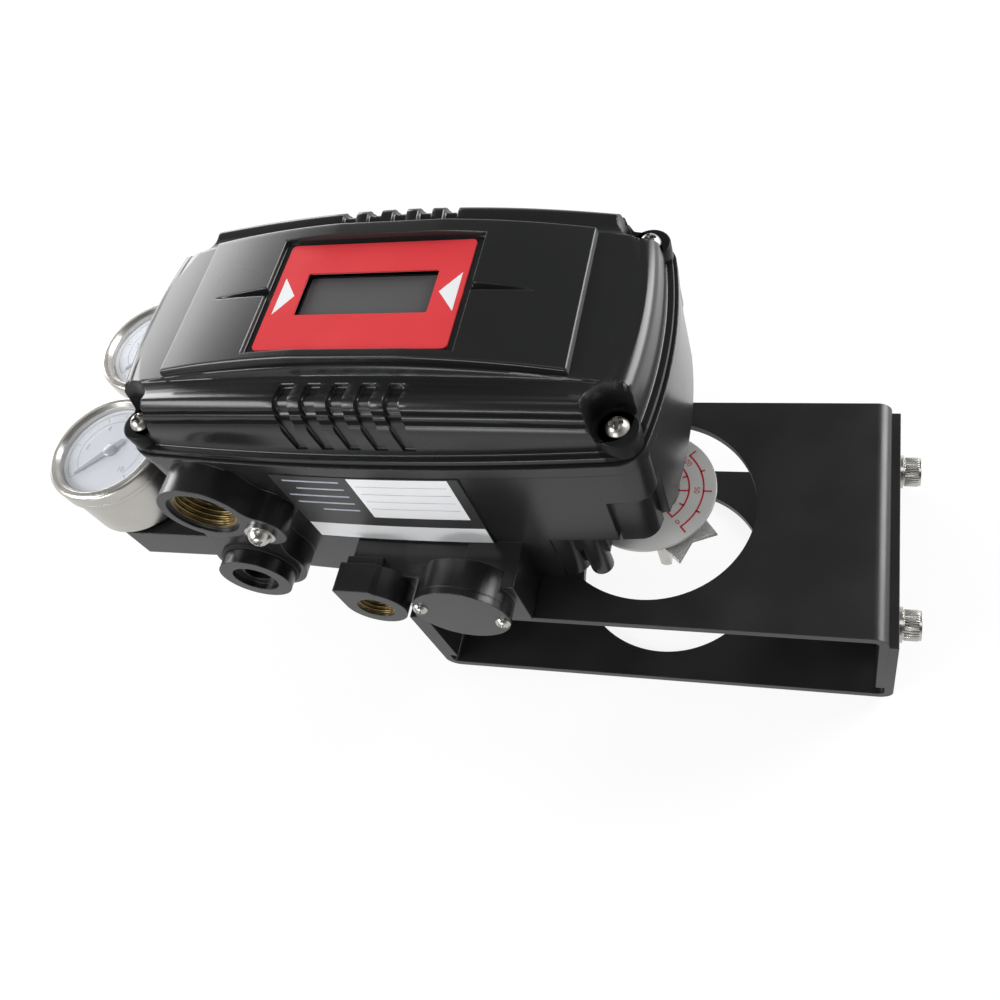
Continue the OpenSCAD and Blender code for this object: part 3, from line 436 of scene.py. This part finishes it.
end_mid = np.array([HALF_LEN - END_R, 0.0])
side_mid = np.array([0.0, HALF_DEP - SIDE_R])
knee = crossing(side_mid, SIDE_R - CORNER_R, end_mid, END_R - CORNER_R)
end_turn = np.arctan2(*(knee - end_mid)[::-1])
side_turn = np.arctan2(*(knee - side_mid)[::-1])
reach = SIDE_R * np.cos(side_turn)
lines = [np.linspace(-58, 58, 54), np.linspace(58, reach, 36), np.linspace(-reach, -58, 36)]
lines += [SLOT_AT[:, None] + SLOT_HALF * s * np.array([0.5, 0.76, 0.85, 0.92, 0.98, 1.06]) for s in (-1, 1)]
lines = np.unique(np.round(np.concatenate([np.ravel(l) for l in lines]), 2))[1:-1]
mirror = np.array([[1, 1], [-1, 1], [-1, -1], [1, -1]])
corner_step = np.linspace(0, 1, 36, endpoint=False)
even = np.linspace(-1, 1, 80, endpoint=False)
end_step = end_turn * (even + 0.26 * np.sin(np.pi * even))
spread = side_turn - end_turn
stretches = [
    (end_mid, END_R, end_step),
    (knee, CORNER_R, end_turn + spread * corner_step),
    (side_mid, SIDE_R, np.arccos(lines[::-1] / SIDE_R)),
    (knee * mirror[1], CORNER_R, np.pi - side_turn + spread * corner_step),
    (end_mid * mirror[1], END_R, np.pi + end_step),
    (knee * mirror[2], CORNER_R, np.pi + end_turn + spread * corner_step),
    (side_mid * mirror[3], SIDE_R, 2 * np.pi - np.arccos(lines / SIDE_R)),
    (knee * mirror[3], CORNER_R, 2 * np.pi - side_turn + spread * corner_step),
]
mid = np.concatenate([np.broadcast_to(m, (len(a), 2)) for m, r, a in stretches])
rad = np.concatenate([np.full(len(a), r) for m, r, a in stretches])
phi = np.concatenate([a for m, r, a in stretches])
out = np.stack([np.cos(phi), np.sin(phi)], axis=-1)


def outline(inset):
    """Outline set in by inset: centre + (radius - inset) x outward direction."""
    return mid + (rad - inset)[:, None] * out


print("outline points", len(phi), "corner centre", np.round(knee, 2))

# %% [markdown]
# ## The cover's cast shell
# The cover is a casting: beside the crowned deck runs a shallow valley, then a ridge that steps down
# to the skirt over two beads. The ends lean in and roll over, five relief slots cross each shoulder
# and a pocket opens at each corner for a screw.
# Solids cut from each other give these forms with keen edges. Here they are one height over the plan,
# taken on rings that run from the deck to the outline, and averaged over a small neighbourhood,
# so that every edge is as soft as a casting's. Rings and columns cross the pocket walls at a slant,
# so the points near a wall are drawn towards it: there the grid is four times as fine.

# %% Cover shell
DECK_TOP, DECK_R, DECK_HALF = 25.8, 391.0, 27.2
VALLEY = [[27.5, 22.9], [29.2, 22.65], [31.0, 22.6], [33.0, 22.8], [35.0, 23.3]]
RIDGE = [[36.2, 23.55], [36.9, 23.5], [37.5, 23.27], [38.0, 22.95], [38.5, 22.5], [38.9, 22.05], [39.25, 21.55],
         [39.4, 21.2], [39.5, 20.6]]
UPPER_BEAD = [[39.62, 20.1], [39.9, 19.9], [40.2, 19.55], [40.45, 19.1], [40.58, 18.6], [40.64, 17.8]]
LOWER_BEAD = [[40.68, 16.7], [40.78, 16.35], [41.0, 16.05], [41.25, 15.62], [41.5, 15.1], [41.7, 14.5], [41.82, 13.8],
              [41.92, 12.6]]
SHOULDER = np.array(VALLEY + RIDGE + UPPER_BEAD + LOWER_BEAD)
RIDGE_AT, SHOULDER_BOW = 36.6, 600.0
SLOT_FLOOR = np.array([[30.6, 22.7], [31.3, 21.2], [33.5, 21.4], [35.4, 22.1], [36.1, 22.2], [36.7, 22.0],
                       [37.3, 21.5], [37.8, 20.9], [38.2, 20.2], [38.4, 19.3], [39.0, 18.8], [39.5, 18.1],
                       [39.7, 16.6], [40.1, 15.6], [40.5, 14.2], [40.7, 12.0], [40.85, 5.7], [41.1, 5.2],
                       [42.0, 5.1]])
SLOT_RAMP, POCKET_RAMP = 0.35, 0.9
LEAN_FOOT, LEAN_STEEP, LEAN_END = 2.6, 12, 3.77
ROLL_IN, ROLL_LOW, ROLL_R, ROLL_RISE = 8.75, 12.9, 5.0, 0.3
SEAT_TOP, POCKET_R = 7.5, 7.2
SCREW_AT = np.array([76.8, 34.5])
SKIRT_IN, FLANGE_IN, FLANGE_TOP, FLANGE_LOW = 3.4, 1.1, 2.6, 0.8
INNER = np.array([62.3, 24.8])


def crown(top, radius, x):
    """A line bowed along x: top minus the sag of a circle."""
    return top - radius + np.sqrt(radius**2 - x**2)


def across(x, y):
    """Distance from the long middle line, counted so that the bowed side stays at one value."""
    v = np.abs(y)
    return v + (SIDE_R - np.sqrt(SIDE_R**2 - x**2)) * smooth(DECK_HALF, RIDGE_AT, v)


def pocket(x, y):
    """Distance from the wall of the nearest corner pocket, and the direction away from the wall."""
    u, v = np.abs(x), np.abs(y)
    along = np.clip((u - SCREW_AT[0] + v - SCREW_AT[1]) / 2, 0, 14)
    du, dv = u - SCREW_AT[0] - along, v - SCREW_AT[1] - along
    far = np.hypot(du, dv) + 1e-9
    return far - POCKET_R, np.stack([np.sign(x) * du / far, np.sign(y) * dv / far], -1)


def cover_form(x, y):
    """Height of the cover above the parting face: the higher of deck and shoulder, the lower of that and the
    leaning end, then slots and screw pockets cut down into it."""
    u, v = np.abs(x), np.abs(y)
    side = across(x, y)
    shoulder = np.interp(side, *SHOULDER.T) + crown(0, SHOULDER_BOW, x)
    deck = crown(DECK_TOP, DECK_R, x) - 3.5 * np.clip(v - DECK_HALF, 0, None)
    top = np.maximum(deck, shoulder)
    inset = END_R - np.hypot(u + END_R - HALF_LEN, y)
    lean = (inset - LEAN_FOOT) * LEAN_STEEP - 1
    roll = ROLL_LOW + np.sqrt(np.clip(ROLL_R**2 - np.clip(ROLL_IN - inset, 0, None)**2, 0, None))
    roll = roll + ROLL_RISE * np.clip(inset - ROLL_IN, 0, None)
    top = np.minimum(top, np.where(inset < LEAN_END, lean, roll))
    floor = np.interp(side, *SLOT_FLOOR.T) + crown(0, SHOULDER_BOW, x)
    for at in SLOT_AT:
        cut = np.clip((SLOT_HALF - np.abs(x - at)) / SLOT_RAMP, 0, 1) * (side > SLOT_FLOOR[0, 0])
        top = top - cut * np.clip(top - floor, 0, None)
    wall = np.clip((pocket(x, y)[0] + 0.2) / POCKET_RAMP, 0, 1)
    return np.minimum(top, SEAT_TOP + np.clip(top - SEAT_TOP, 0, None) * wall)


def drawn_in(plan, span=3.0, pull=0.75):
    """Moves points within span of a pocket's wall towards it, least at the far end, so that none cross."""
    away, way = pocket(plan[..., 0], plan[..., 1])
    off = away - 0.35
    near = np.clip(1 - (off / span)**2, 0, None)**2
    return plan - (off * pull * near)[..., None] * way


def softened(form, x, y, reach):
    """Average of a height over its point and eight points around it."""
    turn = np.arange(8) * np.pi / 4
    near = [form(x + reach * np.cos(a), y + reach * np.sin(a)) for a in turn]
    return (2 * form(x, y) + sum(near)) / 10


def at_cover(plan, height):
    """Plan points about the housing's centre and heights above the parting face, as points of the part."""
    plan = np.asarray(plan)
    return np.concatenate([plan + BODY, np.broadcast_to(height, plan.shape[:-1])[..., None] + PARTING], axis=-1)


RINGS, DECK_RINGS, SKIRT_ROWS = 100, 12, 8
edge = outline(SKIRT_IN)
touch = np.array([reach, knee[1] + (CORNER_R - SKIRT_IN) * np.sin(end_turn)])
inner = np.clip(edge * INNER / touch, -INNER, INNER)
inner[:, 0] = np.sign(edge[:, 0]) * np.interp(np.abs(edge[:, 0]), [0, 56, touch[0]], [0, 56, INNER[0]])
run = np.concatenate([[0], np.cumsum(np.hypot(*np.diff(SHOULDER, axis=0).T))])
ring_at = np.interp(np.linspace(0, run[-1], RINGS), run, SHOULDER[:, 0])
ring_at = np.concatenate([np.linspace(INNER[1], ring_at[0], DECK_RINGS, endpoint=False), ring_at])
way = ((ring_at - INNER[1]) / (ring_at[-1] - INNER[1]))[:, None, None]
plan = inner + (edge - inner) * way
plan[1:-1] = drawn_in(plan[1:-1])
soft_reach = 0.22 - 0.18 * smooth(38, 39, across(plan[..., 0], plan[..., 1]))
height = softened(cover_form, plan[..., 0], plan[..., 1], soft_reach)
rim = height[-1]
fall = np.linspace(0, 1, SKIRT_ROWS + 1)[1:, None]
skirt = rim + (np.minimum(FLANGE_TOP + 0.5, rim) - rim) * fall
rows = [at_cover(plan, height), at_cover(np.broadcast_to(edge, (SKIRT_ROWS, *edge.shape)), skirt)]
for inset, level in ((3.3, 0.2), (3.05, 0.03), (2.7, 0), (1.6, 0), (1.3, -0.07), (1.13, -0.3)):
    rows.append(at_cover(outline(inset)[None], FLANGE_TOP + level))
for inset, level in ((FLANGE_IN, 1.0), (FLANGE_IN, FLANGE_LOW), (6.5, FLANGE_LOW), (6.5, 6.5)):
    rows.append(at_cover(outline(inset)[None], level))
rows.append(at_cover(inner[None], 6.5))
shell_sheets = [grid(np.concatenate(rows), wrap_rows=True, wrap_cols=True)]


def spun(profile, steps=64):
    """A profile of (radius, height) rows turned about the upright axis."""
    r, z = np.array(profile, float).T
    a = np.linspace(0, 2 * np.pi, steps, endpoint=False)
    high = np.broadcast_to(z[:, None], (len(r), steps))
    return np.stack([r[:, None] * np.cos(a), r[:, None] * np.sin(a), high], -1)


LUG = [(0, 0.8), (6.4, 0.8), (6.4, 6.9), (6.3, 7.2), (6.0, 7.45), (5.6, SEAT_TOP), (0, SEAT_TOP)]
for flip in mirror:
    lug = spun(LUG)
    shell_sheets.append(grid(lug + [*(SCREW_AT * flip + BODY), PARTING], wrap_cols=True))
cover_shell = make("cover_shell", shell_sheets, finishes["cover_black"])


# Middle heights and half widths of the walls between the shoulder's beads, which get painted shade.
BEAD_WALLS = ((20.5, 0.85), (17.4, 1.2))


def painted_shade_at(points):
    """Painted shade: 1 on the walls between the beads of the shoulder and in the pockets, where the paint's
    reflection is turned down to stand in for the shade that falls there, 0 elsewhere.
    """
    x, y = (points[:, :2] - BODY).T
    level = points[:, 2] - PARTING - crown(0, SHOULDER_BOW, x)
    upper, lower = [1 - smooth(half - 0.3, half, np.abs(level - middle)) for middle, half in BEAD_WALLS]
    walls = np.maximum(upper, lower) * smooth(39.2, 39.4, across(x, y))
    return np.maximum(walls, 0.8 * (1 - smooth(0.1, 0.5, pocket(x, y)[0])) * (level > SEAT_TOP - 3))


# The painted shade is handed to the cover paint as the point attribute recess.
spots = np.empty(3 * len(cover_shell.data.vertices))
cover_shell.data.vertices.foreach_get("co", spots)
recess = cover_shell.data.attributes.new("recess", "FLOAT", "POINT")
recess.data.foreach_set("value", painted_shade_at(spots.reshape(-1, 3) / MM))
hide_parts("front_cover")

# %% [markdown]
# ## The display panel on the cover
# A raised panel crowns the deck. It carries the label in a shallow recess, a window for the display
# and a thin tapering groove on each side. It is one height over a grid of lines that crowd together
# at the edges of the recess, and a Solidify modifier gives the sheet its wall.

# %% Display panel
PANEL_TOP, PANEL_R = 29.2, 312.0
PANEL_HALF, PANEL_END, PANEL_FOOT = 26.3, 63.2, 66.2
END_EDGE_R, END_STEEP = 1.2, 9
EDGE_R, REAR_OUT = 1.0, 0.9
PANEL_WALL = 1.2
LABEL_AT = np.array([-1.2, -0.7])
RECESS_HALF = np.array([33.35, 22.3])
RECESS_FLOOR = 25.8
WINDOW_AT, WINDOW_HALF = np.array([-1.2, 0.0]), np.array([21.5, 8.25])
FIN_LONG, FIN_Y = 17.5, 0.5


def panel_form(x, y):
    """Height of the panel: a crowned top with rolled, steep ends, less the label's recess and the side grooves."""
    end = np.clip(np.abs(x) - PANEL_END, 0, None)
    roll = crown(PANEL_TOP, PANEL_R, PANEL_END) - END_EDGE_R + np.sqrt(np.clip(END_EDGE_R**2 - end**2, 0, None))
    roll = roll - END_STEEP * np.clip(end - 0.9 * END_EDGE_R, 0, None)
    top = np.minimum(crown(PANEL_TOP, PANEL_R, x), roll + 6 * (end == 0))
    side = np.abs(x - LABEL_AT[0]) - RECESS_HALF[0]
    part = np.clip(side / FIN_LONG, 0, 1)
    half = 1.7 - 1.35 * part
    fin = (2.9 - 2.5 * part) * smooth(0, 0.6, 1 - np.abs(y - FIN_Y) / half) * (side < FIN_LONG) * (side > -1)
    depth = np.maximum(side, np.abs(y - LABEL_AT[1]) - RECESS_HALF[1])
    return RECESS_FLOOR + (top - fin - RECESS_FLOOR) * np.where(depth < 1, smooth(-0.2, 0.2, depth), 1)


def crowded(low, high, count, edges, gap=0.12):
    """Evenly spaced lines with extra ones close to each edge."""
    extra = np.ravel(np.asarray(edges)[:, None] + gap * np.array([-4, -2.5, -1.5, -0.8, 0, 0.8, 1.5, 2.5, 4]))
    return np.unique(np.round(np.concatenate([np.linspace(low, high, count), extra]), 3))


end_lines = [-63.7, 63.7, -64.2, 64.2]
xs = crowded(-PANEL_FOOT, PANEL_FOOT, 150, [*(LABEL_AT[0] + RECESS_HALF[0] * np.array([-1, 1])), *end_lines])
xs = np.unique(np.concatenate([xs, WINDOW_AT[0] + WINDOW_HALF[0] * np.array([-1, 1])]))
ys = crowded(-24.9, 24.9, 60, LABEL_AT[1] + RECESS_HALF[1] * np.array([-1, 1]))
ys = np.unique(np.concatenate([ys, WINDOW_HALF[1] * np.array([-1, 1]), FIN_Y + np.linspace(-1.9, 1.9, 27)]))
turn = np.linspace(0, np.pi / 2, 9)
edge_y = np.concatenate([[PANEL_HALF], PANEL_HALF - EDGE_R * (1 - np.cos(turn))])
ys = np.concatenate([-edge_y, ys, edge_y[::-1] + REAR_OUT])
drop = np.zeros(len(ys))
drop[:10] = [5.5, *(EDGE_R * (1 - np.sin(turn)))]
drop[-10:] = drop[:10][::-1]
px, py = np.meshgrid(xs, ys)
pz = softened(panel_form, px, py, 0.18) - drop[:, None]
faces = lattice(len(ys), len(xs))
flat = np.stack([px, py], -1).reshape(-1, 2)
inside = np.all(np.abs(flat[faces].mean(axis=1) - WINDOW_AT) < WINDOW_HALF, axis=1)
panel = make("cover_panel", [(at_cover(np.stack([px, py], -1), pz), faces[~inside])], finishes["cover_black"],
             closed=False)
wall = panel.modifiers.new("wall", "SOLIDIFY")
wall.thickness = PANEL_WALL * MM
wall.offset = -1
hatch = np.array([[-1, -1], [1, -1], [1, 1], [-1, 1]])
tube = [at_cover(WINDOW_AT + hatch * (WINDOW_HALF + grow), level)
        for grow, level in ((0, 25.75), (0, 21.9), (1.4, 21.9), (1.4, 25.75))]
make("window_frame", [grid(np.stack(tube), wrap_rows=True, wrap_cols=True)], finishes["cover_black"])

# %% [markdown]
# ## Screw heads
# The cover, the ground lead and the pilot cap are held by pan heads with a cross recess.
# A head is a height over polar rings: a low dome with two tapered grooves crossing at the middle.
# The shank is the same grid carried on below the rim.

# %% Screw heads
def pan_head(radius, tall, shank, length, turned=0.0, rings=40, steps=144):
    """Dome tall x (1 - 0.86 (r/radius)^3.4) less a cross whose arms narrow and rise outwards, then rim and shank."""
    r = np.linspace(0, radius, rings)[:, None]
    a = np.linspace(0, 2 * np.pi, steps, endpoint=False)
    x, y = r * np.cos(a), r * np.sin(a)
    arm = 0.62 * radius
    c, s = np.cos(turned), np.sin(turned)
    p, q = np.abs(x * c + y * s), np.abs(y * c - x * s)
    half = 0.17 * radius
    cut = [0.95 * tall * np.clip(1.15 - m / arm, 0, 1) * smooth(-0.05, 0.05, (half - 0.05 * m - n) / radius * 4)
           * smooth(0, 0.08, (arm - m) / radius) for m, n in ((p, q), (q, p))]
    z = tall * (1 - 0.86 * (r / radius)**3.4) - np.maximum(*cut)
    head = np.stack([x, y, z], -1)
    under = spun([(radius, 0), (shank, 0), (shank, -length), (0, -length)], steps)
    return np.concatenate([head, under])


FACE_UP = np.eye(3)
FACE_FRONT = np.array([[1, 0, 0], [0, 0, 1], [0, -1, 0]])


def seated(points, facing, place):
    """Turns local points so that their height runs along the facing direction, and moves them to their seat."""
    return points @ facing + place


cover_heads = [grid(seated(pan_head(3.5, 2.7, 2.0, 22.0, 0.3 + k), FACE_UP, [*(SCREW_AT * flip + BODY), 126.5]),
                    wrap_cols=True) for k, flip in enumerate(mirror)]
heads = make("cover_screw_heads", cover_heads, finishes["screw_steel"])
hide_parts("cover_screws")
ground = pan_head(3.9, 3.3, 2.0, 8.6, 0.5)
heads = make("ground_screw_head", [grid(seated(ground, FACE_FRONT, [-117, -41.2, 94]), wrap_cols=True)],
             finishes["stainless"])
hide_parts("ground_screw")
cap_heads = [grid(seated(pan_head(2.6, 1.6, 1.2, 8.0, 0.9 * s), FACE_FRONT, [-53.5 + 13.2 * s, -53, 67 - 3.5 * s]),
                  wrap_cols=True) for s in (-1, 1)]
heads = make("pilot_cap_screw_heads", cap_heads, finishes["stainless"])
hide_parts("pilot_cap_screws")

# %% [markdown]
# ## Threads
# The open conduit entry and the air port show a golden pipe thread. A thread is a ridge whose place along the bore
# moves on by one pitch in each turn, so on a tube of rows and columns it is a triangle wave of (row / pitch - turn).

# %% Threads
keep("thread_gold", (0.2, 0.145, 0.06), (0.34, 0.26, 0.12), (0.3, 0.42), 0.7, 0.01, cloud=4, metal=1.0)


def thread(x, z, start, stop, radius, pitch, deep, steps=96):
    """Tube about a front-to-back axis: radius less deep x ridge(y / pitch - angle / turn), with an outer wall."""
    rows = int((stop - start) / pitch * 12)
    y = np.linspace(start, stop, rows)[:, None]
    a = np.linspace(0, 2 * np.pi, steps, endpoint=False)
    wave = np.abs(((y / pitch - a / (2 * np.pi)) % 1) * 2 - 1)
    r = radius - 0.12 - deep * smooth(0.1, 0.9, wave)
    r = np.concatenate([r, np.full((2, steps), radius - 0.04)])
    y = np.concatenate([y, [[stop], [start]]])
    return grid(np.stack([x + r * np.cos(a), np.broadcast_to(y, r.shape), z + r * np.sin(a)], -1), True, True)


make("conduit_thread", [thread(-132.5, 104, -38.6, -25.0, 10.4, 1.81, 0.85)], finishes["thread_gold"])
make("air_port_thread", [thread(-83.2, 68.6, -52.6, -43.4, 6.3, 1.34, 0.6)], finishes["thread_gold"])

# %% [markdown]
# ## Print
# Scales, marks and ruled rows are ink a few hundredths of a millimetre thick. Each is a thin closed ribbon
# between two curves, laid on its surface: bars and arcs on the dials, plates on the bowed name plate.

# %% Print helpers
INK = 0.035


def ribbon(a, b, lift):
    """A closed band between two curves, given thickness by lift: four edge curves and two end caps."""
    points = np.stack([a, b, b + lift, a + lift])
    count = points.shape[1]
    caps = [[k * count for k in range(4)], [k * count + count - 1 for k in (3, 2, 1, 0)]]
    return points, [*lattice(4, count, wrap_rows=True), *caps]


def arc_band(centre, r0, r1, start, stop, steps=48):
    """Part of a ring on a level face, from one angle to another in degrees."""
    a = np.radians(np.linspace(start, stop, steps))
    way = np.stack([np.cos(a), np.sin(a), np.zeros(steps)], -1)
    return ribbon(centre + r0 * way, centre + r1 * way, np.array([0, 0, INK]))


def tick(centre, r0, r1, angle, wide):
    """A straight bar along a radius of a level face."""
    a = np.radians(angle)
    way, side = np.array([np.cos(a), np.sin(a), 0]), np.array([-np.sin(a), np.cos(a), 0]) * wide / 2
    ends = np.array([centre + r0 * way, centre + r1 * way])
    return ribbon(ends - side, ends + side, np.array([0, 0, INK]))


def glyphs(text, size, centre, angle):
    """Numerals made a mesh, centred, turned by an angle in degrees and laid on a level face."""
    curve = bpy.data.curves.new("numeral", "FONT")
    curve.body = text
    curve.size = size
    curve.align_x, curve.align_y = "CENTER", "CENTER"
    curve.extrude = INK / 2
    thing = bpy.data.objects.new("numeral", curve)
    scene.collection.objects.link(thing)
    mesh = bpy.data.meshes.new_from_object(thing.evaluated_get(bpy.context.evaluated_depsgraph_get()))
    points = np.empty(len(mesh.vertices) * 3)
    mesh.vertices.foreach_get("co", points)
    faces = [list(face.vertices) for face in mesh.polygons]
    bpy.data.objects.remove(thing)
    bpy.data.meshes.remove(mesh)
    bpy.data.curves.remove(curve)
    c, s = np.cos(np.radians(angle)), np.sin(np.radians(angle))
    turned = points.reshape(-1, 3) @ np.array([[c, s, 0], [-s, c, 0], [0, 0, 1]])
    return turned + centre + [0, 0, INK / 2], faces


keep("ink_red", (0.34, 0.012, 0.02), (0.42, 0.018, 0.026), (0.4, 0.5), 0.4, 0.002, cloud=5)
keep("ink_grey", (0.32, 0.35, 0.42), (0.42, 0.45, 0.52), (0.4, 0.5), 0.4, 0.002, cloud=5)
keep("ink_white", (0.8, 0.81, 0.82), (0.87, 0.88, 0.89), (0.3, 0.4), 0.5, 0.003, cloud=15)
print("inks ready")

# %% [markdown]
# ## Indicator dial
# The dial under the housing carries two arcs about the shaft with ticks and the numbers of an opening scale.

# %% Indicator dial print
DIAL = np.array([0.0, 0.0, 61.3])
SCALE = 47.5
marks = [arc_band(DIAL, 18.7, 19.3, -SCALE, SCALE), arc_band(DIAL, 13.8, 14.4, -SCALE, SCALE)]
DIAL_TICKS = ((-SCALE, 21.8, 11.3), (-24, 20.5, 12.4), (0, 21.9, 10.3), (24, 20.5, 12.4), (SCALE, 21.8, 11.3))
for angle, outer, low in DIAL_TICKS:
    marks += [tick(DIAL, 18.8, outer, angle, 0.6), tick(DIAL, low, 14.3, angle, 0.6)]
for text, angle in (("0", -SCALE + 1), ("50", 1), ("100", SCALE - 4)):
    a = np.radians(angle)
    marks.append(glyphs(text, 2.7, DIAL + 16.7 * np.array([np.cos(a), np.sin(a), 0]), angle - 90))
make("dial_scale", marks, finishes["ink_red"])

# %% [markdown]
# ## Gauge faces
# Each gauge has a pale face with a scale over three quarters of a turn, set close under its glass.
# Behind the glass and in the glare of the light the print is faint, so the ink is a soft grey.
# Face, hand and glass lie about six millimetres higher than the solids they stand for, as in the photo.
# The hand turns with its needle.

# %% Gauge scales
GAUGES = {"front": np.array([-195.0, -6.3, 88.3]), "back": np.array([-195.0, 41.4, 88.3])}
FACE = [(0, -0.6), (18.4, -0.6), (18.4, 0), (0, 0)]
HUB = [(0, 0.1), (2.6, 0.1), (2.6, 1.1), (2.2, 1.4), (0, 1.5)]
GLASS = [(0, 1.7), (19.2, 1.7), (19.2, 2.1), (18.9, 2.3), (0, 2.4)]
HAND = np.array([[-6, 1.1], [0, 1.3], [14.6, 0.35]])
START, SWEEP, STEPS = -135.0, -270.0, 50
for name, centre in GAUGES.items():
    marks = [arc_band(centre, r0, r1, START, START + SWEEP, 96) for r0, r1 in ((16.6, 16.85), (12.9, 13.1))]
    for k in range(STEPS + 1):
        long = 2.6 if k % 10 == 0 else 1.8 if k % 5 == 0 else 1.1
        marks.append(tick(centre, 16.8 - long, 16.8, START + SWEEP * k / STEPS, 0.34 if k % 10 == 0 else 0.18))
    for k in range(6):
        a = np.radians(START + SWEEP * k / 5)
        marks.append(glyphs(str(2 * k), 3.0, centre + 10.9 * np.array([np.cos(a), np.sin(a), 0]), 0))
    make(name + "_gauge_scale", marks, finishes["ink_grey"])
    face = make(name + "_gauge_face", [grid(spun(FACE) + centre, wrap_cols=True)], finishes["dial_white"])
    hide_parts(name + "_gauge_dial")
    a = np.radians(START)
    way, side = np.array([np.cos(a), np.sin(a), 0]), np.array([-np.sin(a), np.cos(a), 0])
    line = centre + [0, 0, 0.4] + HAND[:, :1] * way
    blade = ribbon(line - HAND[:, 1:] * side, line + HAND[:, 1:] * side, np.array([0, 0, 0.6]))
    hand = make(name + "_gauge_hand", [blade, grid(spun(HUB) + centre, wrap_cols=True)], finishes["needle_dark"],
                body=name + "_needle")
    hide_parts(name + "_gauge_needle")
    glass = make(name + "_gauge_glass", [grid(spun(GLASS) + centre, wrap_cols=True)], finishes["clear_pane"])
    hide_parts(name + "_gauge_lens")

# %% [markdown]
# ## Label and name plate
# The red label has two white pointers beside the display. The name plate has a writing field with ruled rows,
# a white strip below it and short pale rules beside it; both stay without words.

# %% Label pointers and name plate
LABEL_FACE = 145.3
label_mid = np.array([*(BODY + LABEL_AT), LABEL_FACE])


def wedge(points):
    """A flat three-cornered mark on the label, from a side to a tip."""
    a, b, tip = [label_mid + [*p, 0] for p in points]
    return ribbon(np.array([a, tip]), np.array([b, tip]), np.array([0, 0, INK]))


POINTERS = ([(-28.8, -7.3), (-28.6, 7.2), (-23.5, 0)], [(29.2, 7.5), (29.3, -7.2), (23.4, 0.3)])
make("label_pointers", [wedge(corners) for corners in POINTERS], finishes["ink_white"])


def name_face(x):
    """Front of the name plate: the housing's long arc set in by a fifth of a millimetre."""
    return BODY[1] + SIDE_R - HALF_DEP - np.sqrt((SIDE_R - 0.2)**2 - (x - BODY[0])**2)


def name_mark(x0, x1, z0, z1, layer=1):
    """A bowed rectangle of ink on the name plate; a higher layer lies on a lower one."""
    x = np.linspace(x0, x1, 24)
    y = name_face(x) - INK * (layer - 1)
    low, high = [np.stack([x, y, np.full(24, z)], -1) for z in (z0, z1)]
    return ribbon(low, high, np.array([0, -INK, 0]))


NAME_ROWS = ((110.2, 19.5), (106.0, 16.5), (101.8, 21), (97.6, 20), (93.4, 13))
white = [name_mark(-81, -48, 90, 113), name_mark(-107.3, -44.9, 75.3, 84.4)]
make("name_fields", white, finishes["ink_white"])
rules = [name_mark(-79.5, -49.5, z, z + 0.25, 2) for z in (108.6, 104.2, 99.8, 95.4)]
rules += [name_mark(-84.5 - long, -84.5, z, z + 0.8) for z, long in NAME_ROWS]
make("name_rules", rules, finishes["ink_grey"])

# %% [markdown]
# ## Knurled screw heads
# The two cap screws at the bracket's end have knurled sides. A knurl is a circle whose radius ripples.

# %% Knurls
def knurl(y, z, x0, x1, radius, deep, ribs=36, steps=432):
    """Sleeve about a left-to-right axis with radius + deep x ripple(angle), its ends drawn in."""
    a = np.linspace(0, 2 * np.pi, steps, endpoint=False)
    ripple = np.abs((a * ribs / np.pi) % 2 - 1)
    rows = [(x0, radius - 0.05, 0), (x0 + 0.15, radius, 1), (x1 - 0.5, radius, 1), (x1, radius - 0.05, 0)]
    rows += [(x1, radius - 0.3, 0), (x0, radius - 0.3, 0)]
    rings = []
    for x, r, on in rows:
        far = r + deep * on * ripple
        rings.append(np.stack([np.full(steps, x), y + far * np.cos(a), z + far * np.sin(a)], -1))
    return grid(np.stack(rings), True, True)


make("bracket_screw_knurls", [knurl(y, 29.0, 85.0, 90.0, 5.0, 0.22) for y in (-30.0, 30.0)], finishes["stainless"])

# %% [markdown]
# ## Hand over
# ## Sizes
# The box of the dressed part is shown beside the box of the solids, so that the two can be compared.

# %% Sizes and finish
def plain(box):
    """A box of two corners as plain lists."""
    return [[round(float(v), 6) for v in corner] for corner in box]


{"cad": plain(cad_box), "visual": plain(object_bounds())}
print("dressed box", plain(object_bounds()))
